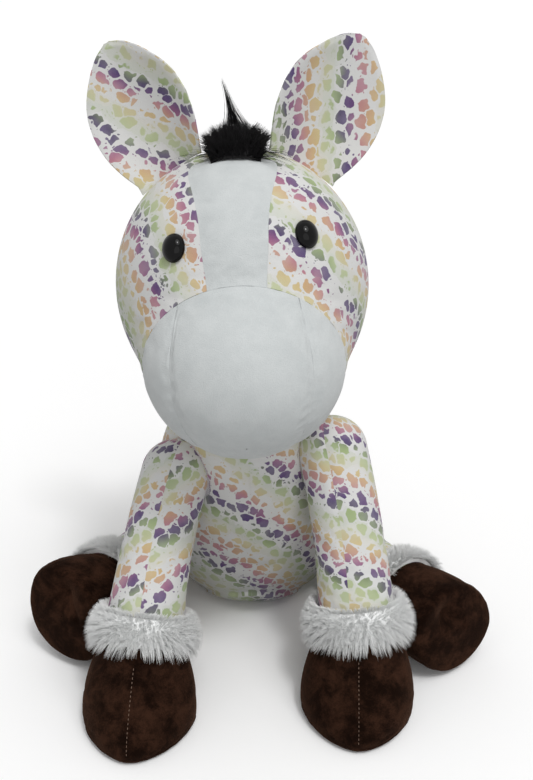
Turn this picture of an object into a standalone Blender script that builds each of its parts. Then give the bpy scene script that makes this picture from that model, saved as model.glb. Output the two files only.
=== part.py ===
"""A seated plush horse: fabric panels sewn round stuffing, with a head, ears, legs and tail that move.

Lengths are in metres, +Z is up, the horse faces -Y, and the origin is the floor under the seat.
Left and right are the horse's own, so left is +X.
"""

import math

import bmesh
import bpy
from mathutils import Matrix, Vector

for leftover in list(bpy.data.objects):
    bpy.data.objects.remove(leftover, do_unlink=True)

# Cloth, seams and clearances
FABRIC = 0.002
SEAM_GAP = 0.0003
STUFFING_GAP = 0.0016
HEAD_STUFFING_GAP = 0.004
WELD = 0.00001

# Torso
SEAT_Y = 0.018
NECK_RADIUS = 0.052
NECK_Y = -0.075
NECK_Z = 0.240
BELLY_HALF_WIDTH = 0.092
BELLY_HALF_DEPTH = 0.096
TORSO_LEAN_POWER = 1.3
TORSO_HEIGHT_SHARES = (0.0, 0.022, 0.075, 0.18, 0.34, 0.5, 0.66, 0.8, 0.91, 1.0)
TORSO_SWELL_SHARES = (0.08, 0.3, 0.6, 0.9, 1.0, 0.95, 0.78, 0.54, 0.17, 0.0)
TORSO_COLUMNS = 10
NECK_ROWS = 4
NECK_TOP_ANGLE = math.radians(87)

# Head
HEAD_X = -0.005
HEAD_Y = -0.093
HEAD_Z = 0.334
HEAD_ROLL = math.radians(3.5)
CRANIUM_HALF_WIDTH = 0.097
CRANIUM_HALF_DEPTH = 0.094
CRANIUM_HALF_HEIGHT = 0.104
MUZZLE_FORWARD = 0.060
MUZZLE_DROP = 0.038
MUZZLE_HALF_WIDTH = 0.074
MUZZLE_HALF_DEPTH = 0.078
MUZZLE_HALF_HEIGHT = 0.070
CHEEK_SOFTNESS = 12
MUZZLE_PITCH = math.radians(32)
MUZZLE_SEAM_ANGLE = math.radians(43.5)
MUZZLE_SEAM_CHANGE = math.radians(7.5)
HEAD_BACK_ANGLE = math.radians(178)
BLAZE_ANGLE = math.radians(16)
BLAZE_ANGLE_SHARES = (1.0, 0.97, 0.94, 0.92, 0.96, 1.06, 1.18, 1.12)
HEAD_ROWS = 14
HEAD_COLUMNS = 9
BLAZE_COLUMNS = 4
MUZZLE_ROWS = 4
DART_SHARES = (0.11, 0.89)
DART_BOW = 0.1

# Eyes: a domed plastic button whose shank is held by a washer behind the cloth
LEFT_EYE_AZIMUTH = math.radians(38.3)
LEFT_EYE_ELEVATION = math.radians(34.9)
RIGHT_EYE_AZIMUTH = math.radians(31.4)
RIGHT_EYE_ELEVATION = math.radians(33.4)
EYE_HALF_WIDTH = 0.0088
EYE_HALF_HEIGHT = 0.0104
EYE_DOME = 0.0068
EYE_LEAN = math.radians(12)
EYE_RIM = 0.0012
EYE_COLUMNS = 16
EYE_ROWS = 3
EYE_TOP_ANGLE = math.radians(80.6)
SHANK_RADIUS = 0.0022
SHANK_LENGTH = 0.0145
SHANK_COLUMNS = 10
WASHER_RADIUS = 0.009
WASHER_THICKNESS = 0.0016
WASHER_DEPTH = 0.0026

# Ears: two layers, cupped forward, hinged on the line where they are sewn on
EAR_LENGTH = 0.101
EAR_HALF_WIDTH = 0.041
EAR_CUP = 0.017
EAR_LAYER = 0.0018
LEFT_EAR_SIDE_ANGLE = math.radians(27.5)
RIGHT_EAR_SIDE_ANGLE = math.radians(26)
EAR_ROUND_ANGLE = math.radians(106)
LEFT_EAR_SPREAD = math.radians(31)
RIGHT_EAR_SPREAD = math.radians(25)
EAR_BACK_LEAN = math.radians(6)
EAR_TURN = math.radians(12)
EAR_LENGTH_SHARES = (0.0, 0.15, 0.32, 0.5, 0.66, 0.8, 0.9, 0.97, 1.0)
EAR_WIDTH_SHARES = (0.7, 0.86, 0.98, 1.0, 0.9, 0.68, 0.46, 0.23, 0.06)
EAR_CUP_SHARES = (0.9, 1.0, 0.95, 0.8, 0.62, 0.42, 0.22, 0.08, 0.0)
EAR_COLUMNS = 6
EAR_FLOP_SLOPE_SHARE = 0.3
EAR_FOOT_GAP = 0.0003
EAR_FOOT_SEARCH_SHARE = 0.5
EAR_FOOT_STEPS = 30

# Forelock, mane and tail: long-pile fabric, given here by the room it fills
FORELOCK_HEIGHT = 0.024
FORELOCK_START = math.radians(78)
FORELOCK_END = math.radians(98)
FORELOCK_SIDE = math.radians(10)
FORELOCK_MIDDLE = math.radians(1.5)
MANE_HEIGHT = 0.022
MANE_START = math.radians(100)
MANE_END = math.radians(202)
MANE_SIDE = math.radians(9)
MANE_MIDDLE = 0.0
HAIR_EDGE = 0.003
HAIR_END_SHARE = 0.12
HAIR_COLUMNS = 6
FORELOCK_ROWS = 5
MANE_ROWS = 10
TAIL_ROOT_RADIUS = 0.011
TAIL_ROOT_Z = 0.100
TAIL_LENGTH = 0.092
TAIL_RADIUS = 0.017
TAIL_PITCH = math.radians(55)
TAIL_LENGTH_SHARES = (0.0, 0.22, 0.45, 0.68, 0.86, 0.97)
TAIL_RADIUS_SHARES = (0.68, 0.86, 1.0, 0.92, 0.6, 0.22)
TAIL_COLUMNS = 12
TAIL_ROOT_ROWS = 4

# Legs: each is a sleeve with a ball end that turns in a dent of the torso
BALL_RADIUS = 0.0285
LEG_MIDDLE_RADIUS = 0.0295
ANKLE_RADIUS = 0.033
LEG_COLUMNS = 14
BALL_ROWS = 3
BALL_POLE_SHARE = 0.5
LEG_ROWS = 6
SHOULDER_Y = -0.105
LEFT_SHOULDER_X = 0.068
LEFT_SHOULDER_Z = 0.196
RIGHT_SHOULDER_X = 0.062
RIGHT_SHOULDER_Z = 0.174
FRONT_ANKLE_Z = 0.060
LEFT_ANKLE_X = 0.089
LEFT_ANKLE_Y = -0.166
RIGHT_ANKLE_X = 0.087
RIGHT_ANKLE_Y = -0.178
FRONT_BOW = 0.006
FRONT_SWING = math.radians(25)
HIP_X = 0.070
HIP_Y = 0.022
HIP_Z = 0.044
HIND_ANKLE_Z = 0.0445
LEFT_HIND_ANKLE_X = 0.136
LEFT_HIND_ANKLE_Y = -0.098
RIGHT_HIND_ANKLE_X = 0.129
RIGHT_HIND_ANKLE_Y = -0.083
HIND_CURVE = 0.056
LEFT_HIND_TURN = math.radians(35)
RIGHT_HIND_TURN = math.radians(30)
HIND_SPLAY = math.radians(20)
SWEEP_STEPS = 3
BALL_ROOM_COLUMNS = 16

# Cuffs: rings of long-pile fabric round the ankles
FRONT_CUFF_RADIUS = 0.044
HIND_CUFF_RADIUS = 0.040
CUFF_GAP = 0.0008
CUFF_LEG_ROWS = 1
CUFF_ARC_ROWS = 4

# Hooves: two uppers joined along the middle, and a sole
HOOF_HALF_WIDTH = 0.046
FRONT_TOE_REACH = 0.078
FRONT_HEEL_REACH = 0.026
HIND_HOOF_HALF_WIDTH = 0.040
HIND_TOE_REACH = 0.051
HIND_HEEL_REACH = 0.040
HIND_FOOT_DEPTH = 0.058
HIND_FOOT_LEAN = math.radians(10)
LEFT_HIND_ROLL = math.radians(105)
RIGHT_HIND_ROLL = math.radians(40)
TOE_RISE = 0.024
HEEL_RISE = 0.044
SOLE_RIM_RISE = 0.005
SOLE_FLAT_SHARE = 0.88
HOOF_SLANT_SHARE = 0.8
HOOF_INSET = 0.0048
HOOF_COLUMNS = 7
HOOF_ROWS = 5
HOOF_BULGE_SHARE = 0.08
HOOF_OUTLINE_POWER = 1.7
LEFT_TOE_IN = math.radians(3)
RIGHT_TOE_IN = math.radians(-5)


def table(at, places, values):
    """The value of a table at a place, eased between its entries."""
    for index in range(len(places) - 1):
        if at <= places[index + 1]:
            break
    start, end = places[index], places[index + 1]
    share = min(max((at - start) / (end - start), 0.0), 1.0)
    return values[index] + (values[index + 1] - values[index]) * share


def mix(first, second, share):
    return first + (second - first) * share


def bezier(points, share):
    start, middle, end = points
    return mix(mix(start, middle, share), mix(middle, end, share), share)


def bezier_tangent(points, share):
    start, middle, end = points
    return mix(middle - start, end - middle, share).normalized()


def material(name, colour, roughness, sheen):
    made = bpy.data.materials.new(name)
    made.use_nodes = True
    shader = made.node_tree.nodes["Principled BSDF"]
    shader.inputs["Base Color"].default_value = (*colour, 1.0)
    shader.inputs["Roughness"].default_value = roughness
    shader.inputs["Sheen Weight"].default_value = sheen
    return made


PRINT = (0.62, 0.55, 0.52)
WHITE = (0.72, 0.73, 0.72)
BLACK = (0.012, 0.011, 0.012)
BROWN = (0.030, 0.014, 0.009)
FILLING = (0.80, 0.80, 0.78)
FINISHES = {
    "print": (PRINT, 0.9, 0.3),
    "white": (WHITE, 0.9, 0.3),
    "hair": (BLACK, 0.7, 0.2),
    "velour": (BROWN, 0.85, 0.4),
    "filling": (FILLING, 1.0, 0.0),
    "eye": (BLACK, 0.08, 0.0),
    "washer": (WHITE, 0.5, 0.0),
}


def add(name, finish, mesh, origin, smooth=True):
    """Makes one object of a mesh that is in world coordinates, with its origin where it is asked for."""
    bmesh.ops.remove_doubles(mesh, verts=mesh.verts, dist=WELD)
    bmesh.ops.recalc_face_normals(mesh, faces=mesh.faces)
    bmesh.ops.translate(mesh, verts=mesh.verts, vec=-origin)
    data = bpy.data.meshes.new(name)
    mesh.to_mesh(data)
    mesh.free()
    for polygon in data.polygons:
        polygon.use_smooth = smooth
    made = bpy.data.objects.new(name, data)
    made.location = origin
    bpy.context.scene.collection.objects.link(made)
    data.materials.append(material(name + "_" + finish, *FINISHES[finish]))
    return made


def surface(rows, wrap=False):
    """A patch of quads through rows of points. A wrapped patch closes each row into a ring."""
    mesh = bmesh.new()
    made = [[mesh.verts.new(point) for point in row] for row in rows]
    columns = len(rows[0])
    for lower, upper in zip(made, made[1:]):
        for index in range(columns if wrap else columns - 1):
            after = (index + 1) % columns
            mesh.faces.new((lower[index], lower[after], upper[after], upper[index]))
    return mesh, made


def cap(mesh, ring, centre):
    """Closes a ring of vertices with a fan round one point."""
    middle = mesh.verts.new(centre)
    for index, vertex in enumerate(ring):
        mesh.faces.new((vertex, ring[(index + 1) % len(ring)], middle))


def average(points):
    return sum(points, Vector()) / len(points)


def solid(name, finish, rings, origin, smooth=True):
    """A closed form through rings of points, closed at both ends."""
    mesh, made = surface(rings, wrap=True)
    cap(mesh, made[0], average(rings[0]))
    cap(mesh, made[-1], average(rings[-1]))
    return add(name, finish, mesh, origin, smooth)


def loop_solid(name, finish, rings, origin, smooth=True):
    """A closed form that goes round an opening: the last ring joins the first."""
    mesh, _ = surface(rings + rings[:1], wrap=True)
    return add(name, finish, mesh, origin, smooth)


def panel(name, finish, outer_rows, inner_rows, origin, wrap=False, bowed=True):
    """A sheet of cloth between two patches of as many points. A bowed one has its creases pointing out."""
    mesh = bmesh.new()
    outer, inner = [
        [[mesh.verts.new(point) for point in row] for row in rows] for rows in (outer_rows, inner_rows)
    ]
    columns = len(outer_rows[0])
    steps = [(index, (index + 1) % columns) for index in range(columns if wrap else columns - 1)]
    for row in range(len(outer) - 1):
        for here, after in steps:
            corners = (row, here), (row, after), (row + 1, after), (row + 1, here)
            far, near = [[layer[r][c] for r, c in corners] for layer in (outer, inner)]
            middle = average([corner.co for corner in near])
            lifts = [(mix(far[i].co, far[i + 2].co, 0.5) - middle).length for i in (0, 1)]
            turned = bowed and lifts[1] > lifts[0]
            for a, b, c, d in (far, near):
                mesh.faces.new((a, b, d) if turned else (a, b, c))
                mesh.faces.new((b, c, d) if turned else (a, c, d))
    for row, points in ((0, outer_rows[0]), (-1, outer_rows[-1])):
        if (points[0] - points[columns // 2]).length > WELD:
            for here, after in steps:
                mesh.faces.new((outer[row][here], outer[row][after], inner[row][after], inner[row][here]))
    if not wrap:
        for column in (0, -1):
            for row in range(len(outer) - 1):
                corners = (outer[row], outer[row + 1], inner[row + 1], inner[row])
                mesh.faces.new([corner[column] for corner in corners])
    return add(name, finish, mesh, origin)


def cutter(name, mesh):
    bmesh.ops.recalc_face_normals(mesh, faces=mesh.faces)
    data = bpy.data.meshes.new(name)
    mesh.to_mesh(data)
    mesh.free()
    made = bpy.data.objects.new(name, data)
    bpy.context.scene.collection.objects.link(made)
    made.hide_render = True
    made.display_type = "WIRE"
    return made


def cut(target, tool):
    step = target.modifiers.new(tool.name, "BOOLEAN")
    step.operation = "DIFFERENCE"
    step.solver = "EXACT"
    step.object = tool


def ring(centre, first, second, radius, columns):
    """Points on a circle, the first one along the first direction."""
    turns = [math.tau * index / columns for index in range(columns)]
    return [centre + (first * math.cos(turn) + second * math.sin(turn)) * radius for turn in turns]


def rod_cutter(name, start, end, radius, columns):
    along = (end - start).normalized()
    first = along.orthogonal().normalized()
    rings = [ring(point, first, along.cross(first), radius, columns) for point in (start, end)]
    mesh, made = surface(rings, wrap=True)
    mesh.faces.new(made[0])
    mesh.faces.new(made[-1])
    return cutter(name, mesh)


SIDES = {"left": 1, "right": -1}
UP = Vector((0, 0, 1))
RIGHTWARD = Vector((1, 0, 0))
FORWARD = Vector((0, -1, 0))
NECK = Vector((0, NECK_Y, NECK_Z))
SEAT = Vector((0, 0, 0))


# Torso
def torso_ring(height_share):
    """Half width, half depth and centre of the torso at a share of the way up to the neck."""
    swell = table(height_share, TORSO_HEIGHT_SHARES, TORSO_SWELL_SHARES)
    centre = Vector((0, mix(SEAT_Y, NECK_Y, height_share**TORSO_LEAN_POWER), NECK_Z * height_share))
    return mix(NECK_RADIUS, BELLY_HALF_WIDTH, swell), mix(NECK_RADIUS, BELLY_HALF_DEPTH, swell), centre


def torso_row(height_share, turns, inset):
    half_width, half_depth, centre = torso_ring(height_share)
    return [
        centre + Vector((math.sin(turn) * (half_width - inset), -math.cos(turn) * (half_depth - inset), 0))
        for turn in turns
    ]


def neck_row(angle, turns, inset):
    radius = NECK_RADIUS - inset
    middle = NECK + UP * radius * math.sin(angle)
    flat = radius * math.cos(angle)
    return [middle + Vector((math.sin(turn), -math.cos(turn), 0)) * flat for turn in turns]


def torso_rows(turns_at, inset):
    """Rows from the seat to the top of the neck. The turns of a row may depend on its radius."""
    rows = [torso_row(share, turns_at(torso_ring(share)[0]), inset) for share in TORSO_HEIGHT_SHARES]
    for index in range(1, NECK_ROWS + 1):
        angle = NECK_TOP_ANGLE * index / NECK_ROWS
        rows.append(neck_row(angle, turns_at(NECK_RADIUS * math.cos(angle)), inset))
    return rows


def body_panels():
    covers = {}
    for side, sign in SIDES.items():

        def turns_at(radius, sign=sign):
            margin = SEAM_GAP / 2 / radius
            steps = range(TORSO_COLUMNS + 1)
            return [sign * mix(margin, math.pi - margin, index / TORSO_COLUMNS) for index in steps]

        outer, inner = torso_rows(turns_at, 0), torso_rows(turns_at, FABRIC)
        covers[side] = panel("body_cover_" + side, "print", outer, inner, SEAT)
    return covers


def body_core():
    turns = [math.tau * index / (2 * TORSO_COLUMNS) for index in range(2 * TORSO_COLUMNS)]
    rows = torso_rows(lambda radius: turns, FABRIC + STUFFING_GAP)
    floor = FABRIC + STUFFING_GAP
    for point in (point for row in rows for point in row):
        point.z = max(point.z, floor)
    return solid("body_stuffing", "filling", rows[1:], SEAT)


def seat_panel():
    turns = [math.tau * index / (2 * TORSO_COLUMNS) for index in range(2 * TORSO_COLUMNS)]
    half_width, half_depth, centre = torso_ring(0)
    reach = FABRIC + SEAM_GAP
    lower = [
        centre + Vector((math.sin(turn) * (half_width - reach), -math.cos(turn) * (half_depth - reach), 0))
        for turn in turns
    ]
    return solid("seat_panel", "print", [lower, [point + UP * FABRIC for point in lower]], SEAT, smooth=False)


# Head
HEAD_CENTRE = Vector((HEAD_X, HEAD_Y, HEAD_Z))
HEAD_TURN = Matrix.Rotation(-HEAD_ROLL, 3, "Y")
CRANIUM = Vector((0, 0, 0)), Vector((CRANIUM_HALF_WIDTH, CRANIUM_HALF_DEPTH, CRANIUM_HALF_HEIGHT))
MUZZLE = (
    Vector((0, -MUZZLE_FORWARD, -MUZZLE_DROP)),
    Vector((MUZZLE_HALF_WIDTH, MUZZLE_HALF_DEPTH, MUZZLE_HALF_HEIGHT)),
)


def reach_of(direction, ellipsoid):
    """How far an ellipsoid that holds the origin reaches along a direction."""
    centre, halves = ellipsoid
    squares = sum((direction[axis] / halves[axis]) ** 2 for axis in range(3))
    mixed = sum(direction[axis] * centre[axis] / halves[axis] ** 2 for axis in range(3))
    rest = sum((centre[axis] / halves[axis]) ** 2 for axis in range(3)) - 1
    return (mixed + math.sqrt(mixed * mixed - squares * rest)) / squares


def head_reach(direction):
    longest = max(reach_of(direction, CRANIUM), reach_of(direction, MUZZLE))
    shares = [reach_of(direction, form) / longest for form in (CRANIUM, MUZZLE)]
    return longest * sum(share**CHEEK_SOFTNESS for share in shares) ** (1 / CHEEK_SOFTNESS)


def head_point(direction, lift=0):
    return HEAD_CENTRE + HEAD_TURN @ (direction * (head_reach(direction) + lift))


def face_direction(angle, turn):
    """A direction by its angle from the muzzle's middle, and its turn round it from the forehead."""
    out = Vector((0, -math.cos(MUZZLE_PITCH), -math.sin(MUZZLE_PITCH)))
    over = Vector((0, -math.sin(MUZZLE_PITCH), math.cos(MUZZLE_PITCH)))
    return out * math.cos(angle) + (over * math.cos(turn) + RIGHTWARD * math.sin(turn)) * math.sin(angle)


def crown_direction(round_angle, side_angle):
    """A direction by its angle over the crown from straight ahead, and its angle to the side."""
    flat = math.cos(side_angle)
    return Vector((math.sin(side_angle), -math.cos(round_angle) * flat, math.sin(round_angle) * flat))


def muzzle_seam(turn):
    return MUZZLE_SEAM_ANGLE + MUZZLE_SEAM_CHANGE * math.cos(turn)


def head_row(row, turns, lift):
    share = row / HEAD_ROWS
    margin = SEAM_GAP / 2 / CRANIUM_HALF_WIDTH
    angles = [mix(muzzle_seam(turn) + margin, HEAD_BACK_ANGLE, share) for turn in turns]
    return [head_point(face_direction(angle, turn), lift) for angle, turn in zip(angles, turns)]


def blaze_edge(row):
    return BLAZE_ANGLE * BLAZE_ANGLE_SHARES[row] if row < len(BLAZE_ANGLE_SHARES) else 0.0


def row_margin(row):
    angle = mix(MUZZLE_SEAM_ANGLE, HEAD_BACK_ANGLE, row / HEAD_ROWS)
    return SEAM_GAP / 2 / (CRANIUM_HALF_WIDTH * math.sin(angle))


def side_rows(sign, lift):
    rows = []
    for row in range(HEAD_ROWS + 1):
        start, end = blaze_edge(row) + row_margin(row), math.pi - row_margin(row)
        turns = [sign * mix(start, end, index / HEAD_COLUMNS) for index in range(HEAD_COLUMNS + 1)]
        rows.append(head_row(row, turns, lift))
    return rows


def blaze_rows(lift):
    rows = []
    for row in range(len(BLAZE_ANGLE_SHARES)):
        edge = blaze_edge(row) - row_margin(row)
        turns = [mix(-edge, edge, index / BLAZE_COLUMNS) for index in range(BLAZE_COLUMNS + 1)]
        rows.append(head_row(row, turns, lift))
    return rows


def seam_turns():
    """The turns at which the pieces along the muzzle seam share their corners, from the blaze to the chin."""
    return [mix(BLAZE_ANGLE, math.pi, index / HEAD_COLUMNS) for index in range(HEAD_COLUMNS + 1)]


def dart_columns():
    """The columns of the seam's corners between which the dart seam runs."""
    return [round(share * HEAD_COLUMNS) for share in DART_SHARES]


def dart_share(turn):
    """How far out towards the muzzle seam the dart seam lies: a line between two of its corners, bowed in."""
    first, last = [seam_turns()[column] for column in dart_columns()]
    turn = abs(turn)
    if not first < turn < last:
        return 1.0
    slope = (math.cos(last) - math.cos(first)) / (math.sin(last) - math.sin(first))
    straight = (math.cos(first) - slope * math.sin(first)) / (math.cos(turn) - slope * math.sin(turn))
    return straight * (1 - DART_BOW * math.sin(math.pi * (turn - first) / (last - first)))


def all_turns():
    blaze = [mix(-BLAZE_ANGLE, BLAZE_ANGLE, index / BLAZE_COLUMNS) for index in range(BLAZE_COLUMNS + 1)]
    side = seam_turns()
    return [-turn for turn in reversed(side[1:])] + blaze + side[1:-1]


def muzzle_rows(turns, near, far, lift):
    rows = []
    for row in range(MUZZLE_ROWS + 1):
        share = row / MUZZLE_ROWS
        angles = [muzzle_seam(turn) * mix(near(turn), far(turn), share) for turn in turns]
        rows.append([head_point(face_direction(*pair), lift) for pair in zip(angles, turns)])
    return rows


def muzzle_panels():
    """The middle of the muzzle is a disc whose two sides, the cheeks, are cut off along the darts."""
    margin = SEAM_GAP / 2 / (MUZZLE_SEAM_ANGLE * MUZZLE_HALF_WIDTH)
    spans = {"muzzle_middle": (all_turns(), lambda turn: 0.0, lambda turn: dart_share(turn) - margin)}
    first, last = dart_columns()
    cheek = seam_turns()[first : last + 1]
    cheek[0] += 2 * margin
    cheek[-1] -= 2 * margin
    for label, sign in SIDES.items():
        spans["muzzle_cheek_" + label] = (
            [sign * turn for turn in cheek],
            lambda turn: min(dart_share(turn) + margin, 1 - margin),
            lambda turn: 1 - margin,
        )
    covers = {}
    for name, span in spans.items():
        outer, inner = muzzle_rows(*span, 0), muzzle_rows(*span, -FABRIC)
        covers[name] = panel(name, "white", outer, inner, NECK, wrap=name == "muzzle_middle")
    return covers


def head_panels():
    covers = muzzle_panels()
    for side, sign in SIDES.items():
        covers[side] = panel("head_side_" + side, "print", side_rows(sign, 0), side_rows(sign, -FABRIC), NECK)
    panel("forehead_blaze", "white", blaze_rows(0), blaze_rows(-FABRIC), NECK)
    return covers


def head_core():
    """The stuffing has its corners behind those of the cloth, and only every second row behind the cheeks."""
    inset = -(FABRIC + HEAD_STUFFING_GAP)
    rows = muzzle_rows(all_turns(), lambda turn: 0.0, lambda turn: 1.0, inset)[1:]
    rows += [head_row(row, all_turns(), inset) for row in (1, *range(2, HEAD_ROWS + 1, 2))]
    return solid("head_stuffing", "filling", rows, NECK)


def neck_cutter():
    """A ball round the neck whose flats stay clear of the neck at any angle."""
    columns = 2 * TORSO_COLUMNS
    radius = (NECK_RADIUS + SEAM_GAP) / math.cos(math.pi / columns) ** 2
    mesh = bmesh.new()
    bmesh.ops.create_uvsphere(mesh, u_segments=columns, v_segments=columns // 2, radius=radius)
    bmesh.ops.translate(mesh, verts=mesh.verts, vec=NECK)
    return cutter("neck_room", mesh)


# Eyes
EYE_ANGLES = {1: (LEFT_EYE_AZIMUTH, LEFT_EYE_ELEVATION), -1: (RIGHT_EYE_AZIMUTH, RIGHT_EYE_ELEVATION)}


def eye_frame(sign):
    """The place of an eye on the head, with its outward, upward and sideways directions."""
    azimuth, elevation = EYE_ANGLES[sign]
    flat = math.cos(elevation)
    direction = Vector((sign * math.sin(azimuth) * flat, -math.cos(azimuth) * flat, math.sin(elevation)))
    seat = head_point(direction)
    side = direction.cross(UP).normalized()
    step = EYE_HALF_WIDTH / CRANIUM_HALF_WIDTH

    def slope(way):
        ends = [head_point((direction + way * reach).normalized()) for reach in (step, -step)]
        return ends[0] - ends[1]

    across, along = slope(side), slope(side.cross(direction))
    out = across.cross(along).normalized()
    out = out if out.dot(HEAD_TURN @ direction) > 0 else -out
    up = Matrix.Rotation(-sign * EYE_LEAN, 3, out) @ (along - out * along.dot(out)).normalized()
    return seat, out, up, up.cross(out)


def eye_parts(side, sign, cover, core):
    seat, out, up, across = eye_frame(sign)
    base = seat + out * SEAM_GAP

    def oval(depth, share):
        middle = base + out * depth
        wide, high = across * EYE_HALF_WIDTH * share, up * EYE_HALF_HEIGHT * share
        turns = [math.tau * index / EYE_COLUMNS for index in range(EYE_COLUMNS)]
        return [middle + wide * math.cos(turn) + high * math.sin(turn) for turn in turns]

    stem = [ring(base - out * SHANK_LENGTH, across, up, SHANK_RADIUS, EYE_COLUMNS)]
    stem.append(ring(base, across, up, SHANK_RADIUS, EYE_COLUMNS))
    dome = [oval(0, 1.0), oval(EYE_RIM, 1.0)]
    for index in range(1, EYE_ROWS + 1):
        angle = EYE_TOP_ANGLE * index / EYE_ROWS
        dome.append(oval(mix(EYE_RIM, EYE_DOME, math.sin(angle)), math.cos(angle)))
    solid("eye_" + side, "eye", stem + dome, NECK)
    inner = ring(base, across, up, SHANK_RADIUS + SEAM_GAP, EYE_COLUMNS)
    outer = ring(base, across, up, WASHER_RADIUS, EYE_COLUMNS)
    depth = SEAM_GAP + FABRIC + WASHER_DEPTH
    near, far = -out * depth, -out * (depth + WASHER_THICKNESS)
    corners = (inner, near), (outer, near), (outer, far), (inner, far)
    rows = [[point + shift for point in circle] for circle, shift in corners]
    loop_solid("eye_washer_" + side, "washer", rows, NECK, smooth=False)
    start, end = base + out * EYE_DOME, base - out * (SHANK_LENGTH + STUFFING_GAP)
    cut(cover, rod_cutter("eye_hole_" + side, start, end, SHANK_RADIUS + SEAM_GAP, SHANK_COLUMNS))
    cut(core, rod_cutter("eye_pocket_" + side, start, end, WASHER_RADIUS + STUFFING_GAP, EYE_COLUMNS))


# Ears
EAR_ANGLES = {1: (LEFT_EAR_SIDE_ANGLE, LEFT_EAR_SPREAD), -1: (RIGHT_EAR_SIDE_ANGLE, RIGHT_EAR_SPREAD)}


def ear_frame(sign):
    """The foot of an ear on the head, and its directions across, forward and along."""
    side_angle, spread = EAR_ANGLES[sign]
    foot = head_point(crown_direction(EAR_ROUND_ANGLE, sign * side_angle), EAR_LAYER)
    turn = Matrix.Rotation(sign * spread, 3, "Y") @ Matrix.Rotation(-EAR_BACK_LEAN, 3, "X")
    turn = HEAD_TURN @ turn @ Matrix.Rotation(sign * EAR_TURN, 3, "Z")
    return foot, turn @ RIGHTWARD, turn @ FORWARD, turn @ UP


def above_head(point):
    away = HEAD_TURN.transposed() @ (point - HEAD_CENTRE)
    return away.length - head_reach(away.normalized())


def ear_rows(sign, shift):
    foot, across, front, along = ear_frame(sign)

    def place(side_share, length_share, shift=0.0):
        share = max(length_share, 0.0)
        width = EAR_HALF_WIDTH * table(share, EAR_LENGTH_SHARES, EAR_WIDTH_SHARES) * side_share
        cup = EAR_CUP * table(share, EAR_LENGTH_SHARES, EAR_CUP_SHARES) * side_share**2
        return foot + across * width + front * (cup + shift) + along * EAR_LENGTH * length_share

    rows = []
    for side_share in [mix(-1.0, 1.0, index / EAR_COLUMNS) for index in range(EAR_COLUMNS + 1)]:
        room = EAR_FOOT_GAP + EAR_CUP * side_share**2 * EAR_FLOP_SLOPE_SHARE
        low, high = -EAR_FOOT_SEARCH_SHARE, EAR_FOOT_SEARCH_SHARE
        for _ in range(EAR_FOOT_STEPS):
            middle = (low + high) / 2
            clear = above_head(place(side_share, middle)) > room
            low, high = (low, middle) if clear else (middle, high)
        rows.append([place(side_share, mix(high, 1.0, share), shift) for share in EAR_LENGTH_SHARES])
    return rows


def ear(side, sign):
    foot = ear_frame(sign)[0]
    for name, way in (("ear_lining_", 1), ("ear_back_", -1)):
        near, far = [ear_rows(sign, way * shift) for shift in (SEAM_GAP / 2, SEAM_GAP / 2 + EAR_LAYER)]
        panel(name + side, "print", far, near, foot, bowed=False)


# Forelock, mane and tail
def hair_pad(name, start, end, middle, side_angle, height, rows_count):
    lower, upper = [], []
    for row in range(rows_count + 1):
        along = row / rows_count
        low_row, high_row = [], []
        for column in range(HAIR_COLUMNS + 1):
            across = mix(-1.0, 1.0, column / HAIR_COLUMNS)
            direction = crown_direction(mix(start, end, along), middle + side_angle * across)
            swell = (1 - across**2) * math.sin(math.pi * mix(HAIR_END_SHARE, 1 - HAIR_END_SHARE, along))
            low_row.append(head_point(direction, SEAM_GAP + STUFFING_GAP / 2))
            high_row.append(head_point(direction, HAIR_EDGE + (height - HAIR_EDGE) * swell))
        lower.append(low_row)
        upper.append(high_row)
    return panel(name, "hair", upper, lower, NECK)


def tail():
    backs = []
    for height in (TAIL_ROOT_Z - TAIL_ROOT_RADIUS, TAIL_ROOT_Z):
        _, half_depth, centre = torso_ring(height / NECK_Z)
        backs.append(centre - FORWARD * half_depth)
    out = (backs[1] - backs[0]).cross(RIGHTWARD).normalized()
    root = backs[1] - out * (TAIL_ROOT_RADIUS + SEAM_GAP) * math.copysign(1, out.dot(FORWARD))
    along = -FORWARD * math.cos(TAIL_PITCH) - UP * math.sin(TAIL_PITCH)
    second = along.cross(RIGHTWARD)
    rings = []
    for index in range(1, TAIL_ROOT_ROWS):
        angle = -math.pi / 2 * (1 - index / TAIL_ROOT_ROWS)
        middle = root + along * TAIL_ROOT_RADIUS * math.sin(angle)
        rings.append(ring(middle, RIGHTWARD, second, TAIL_ROOT_RADIUS * math.cos(angle), TAIL_COLUMNS))
    for share, width in zip(TAIL_LENGTH_SHARES, TAIL_RADIUS_SHARES):
        radius = TAIL_RADIUS * width if share else TAIL_ROOT_RADIUS
        rings.append(ring(root + along * TAIL_LENGTH * share, RIGHTWARD, second, radius, TAIL_COLUMNS))
    solid("tail", "hair", rings, root)


# Legs
def leg_ring(route, share, radius_change, reference):
    tangent = bezier_tangent(route, share)
    first = (reference - tangent * reference.dot(tangent)).normalized()
    control = 2 * LEG_MIDDLE_RADIUS - (BALL_RADIUS + ANKLE_RADIUS) / 2
    radius = bezier((BALL_RADIUS, control, ANKLE_RADIUS), share)
    return ring(bezier(route, share), first, tangent.cross(first), radius + radius_change, LEG_COLUMNS)


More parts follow.
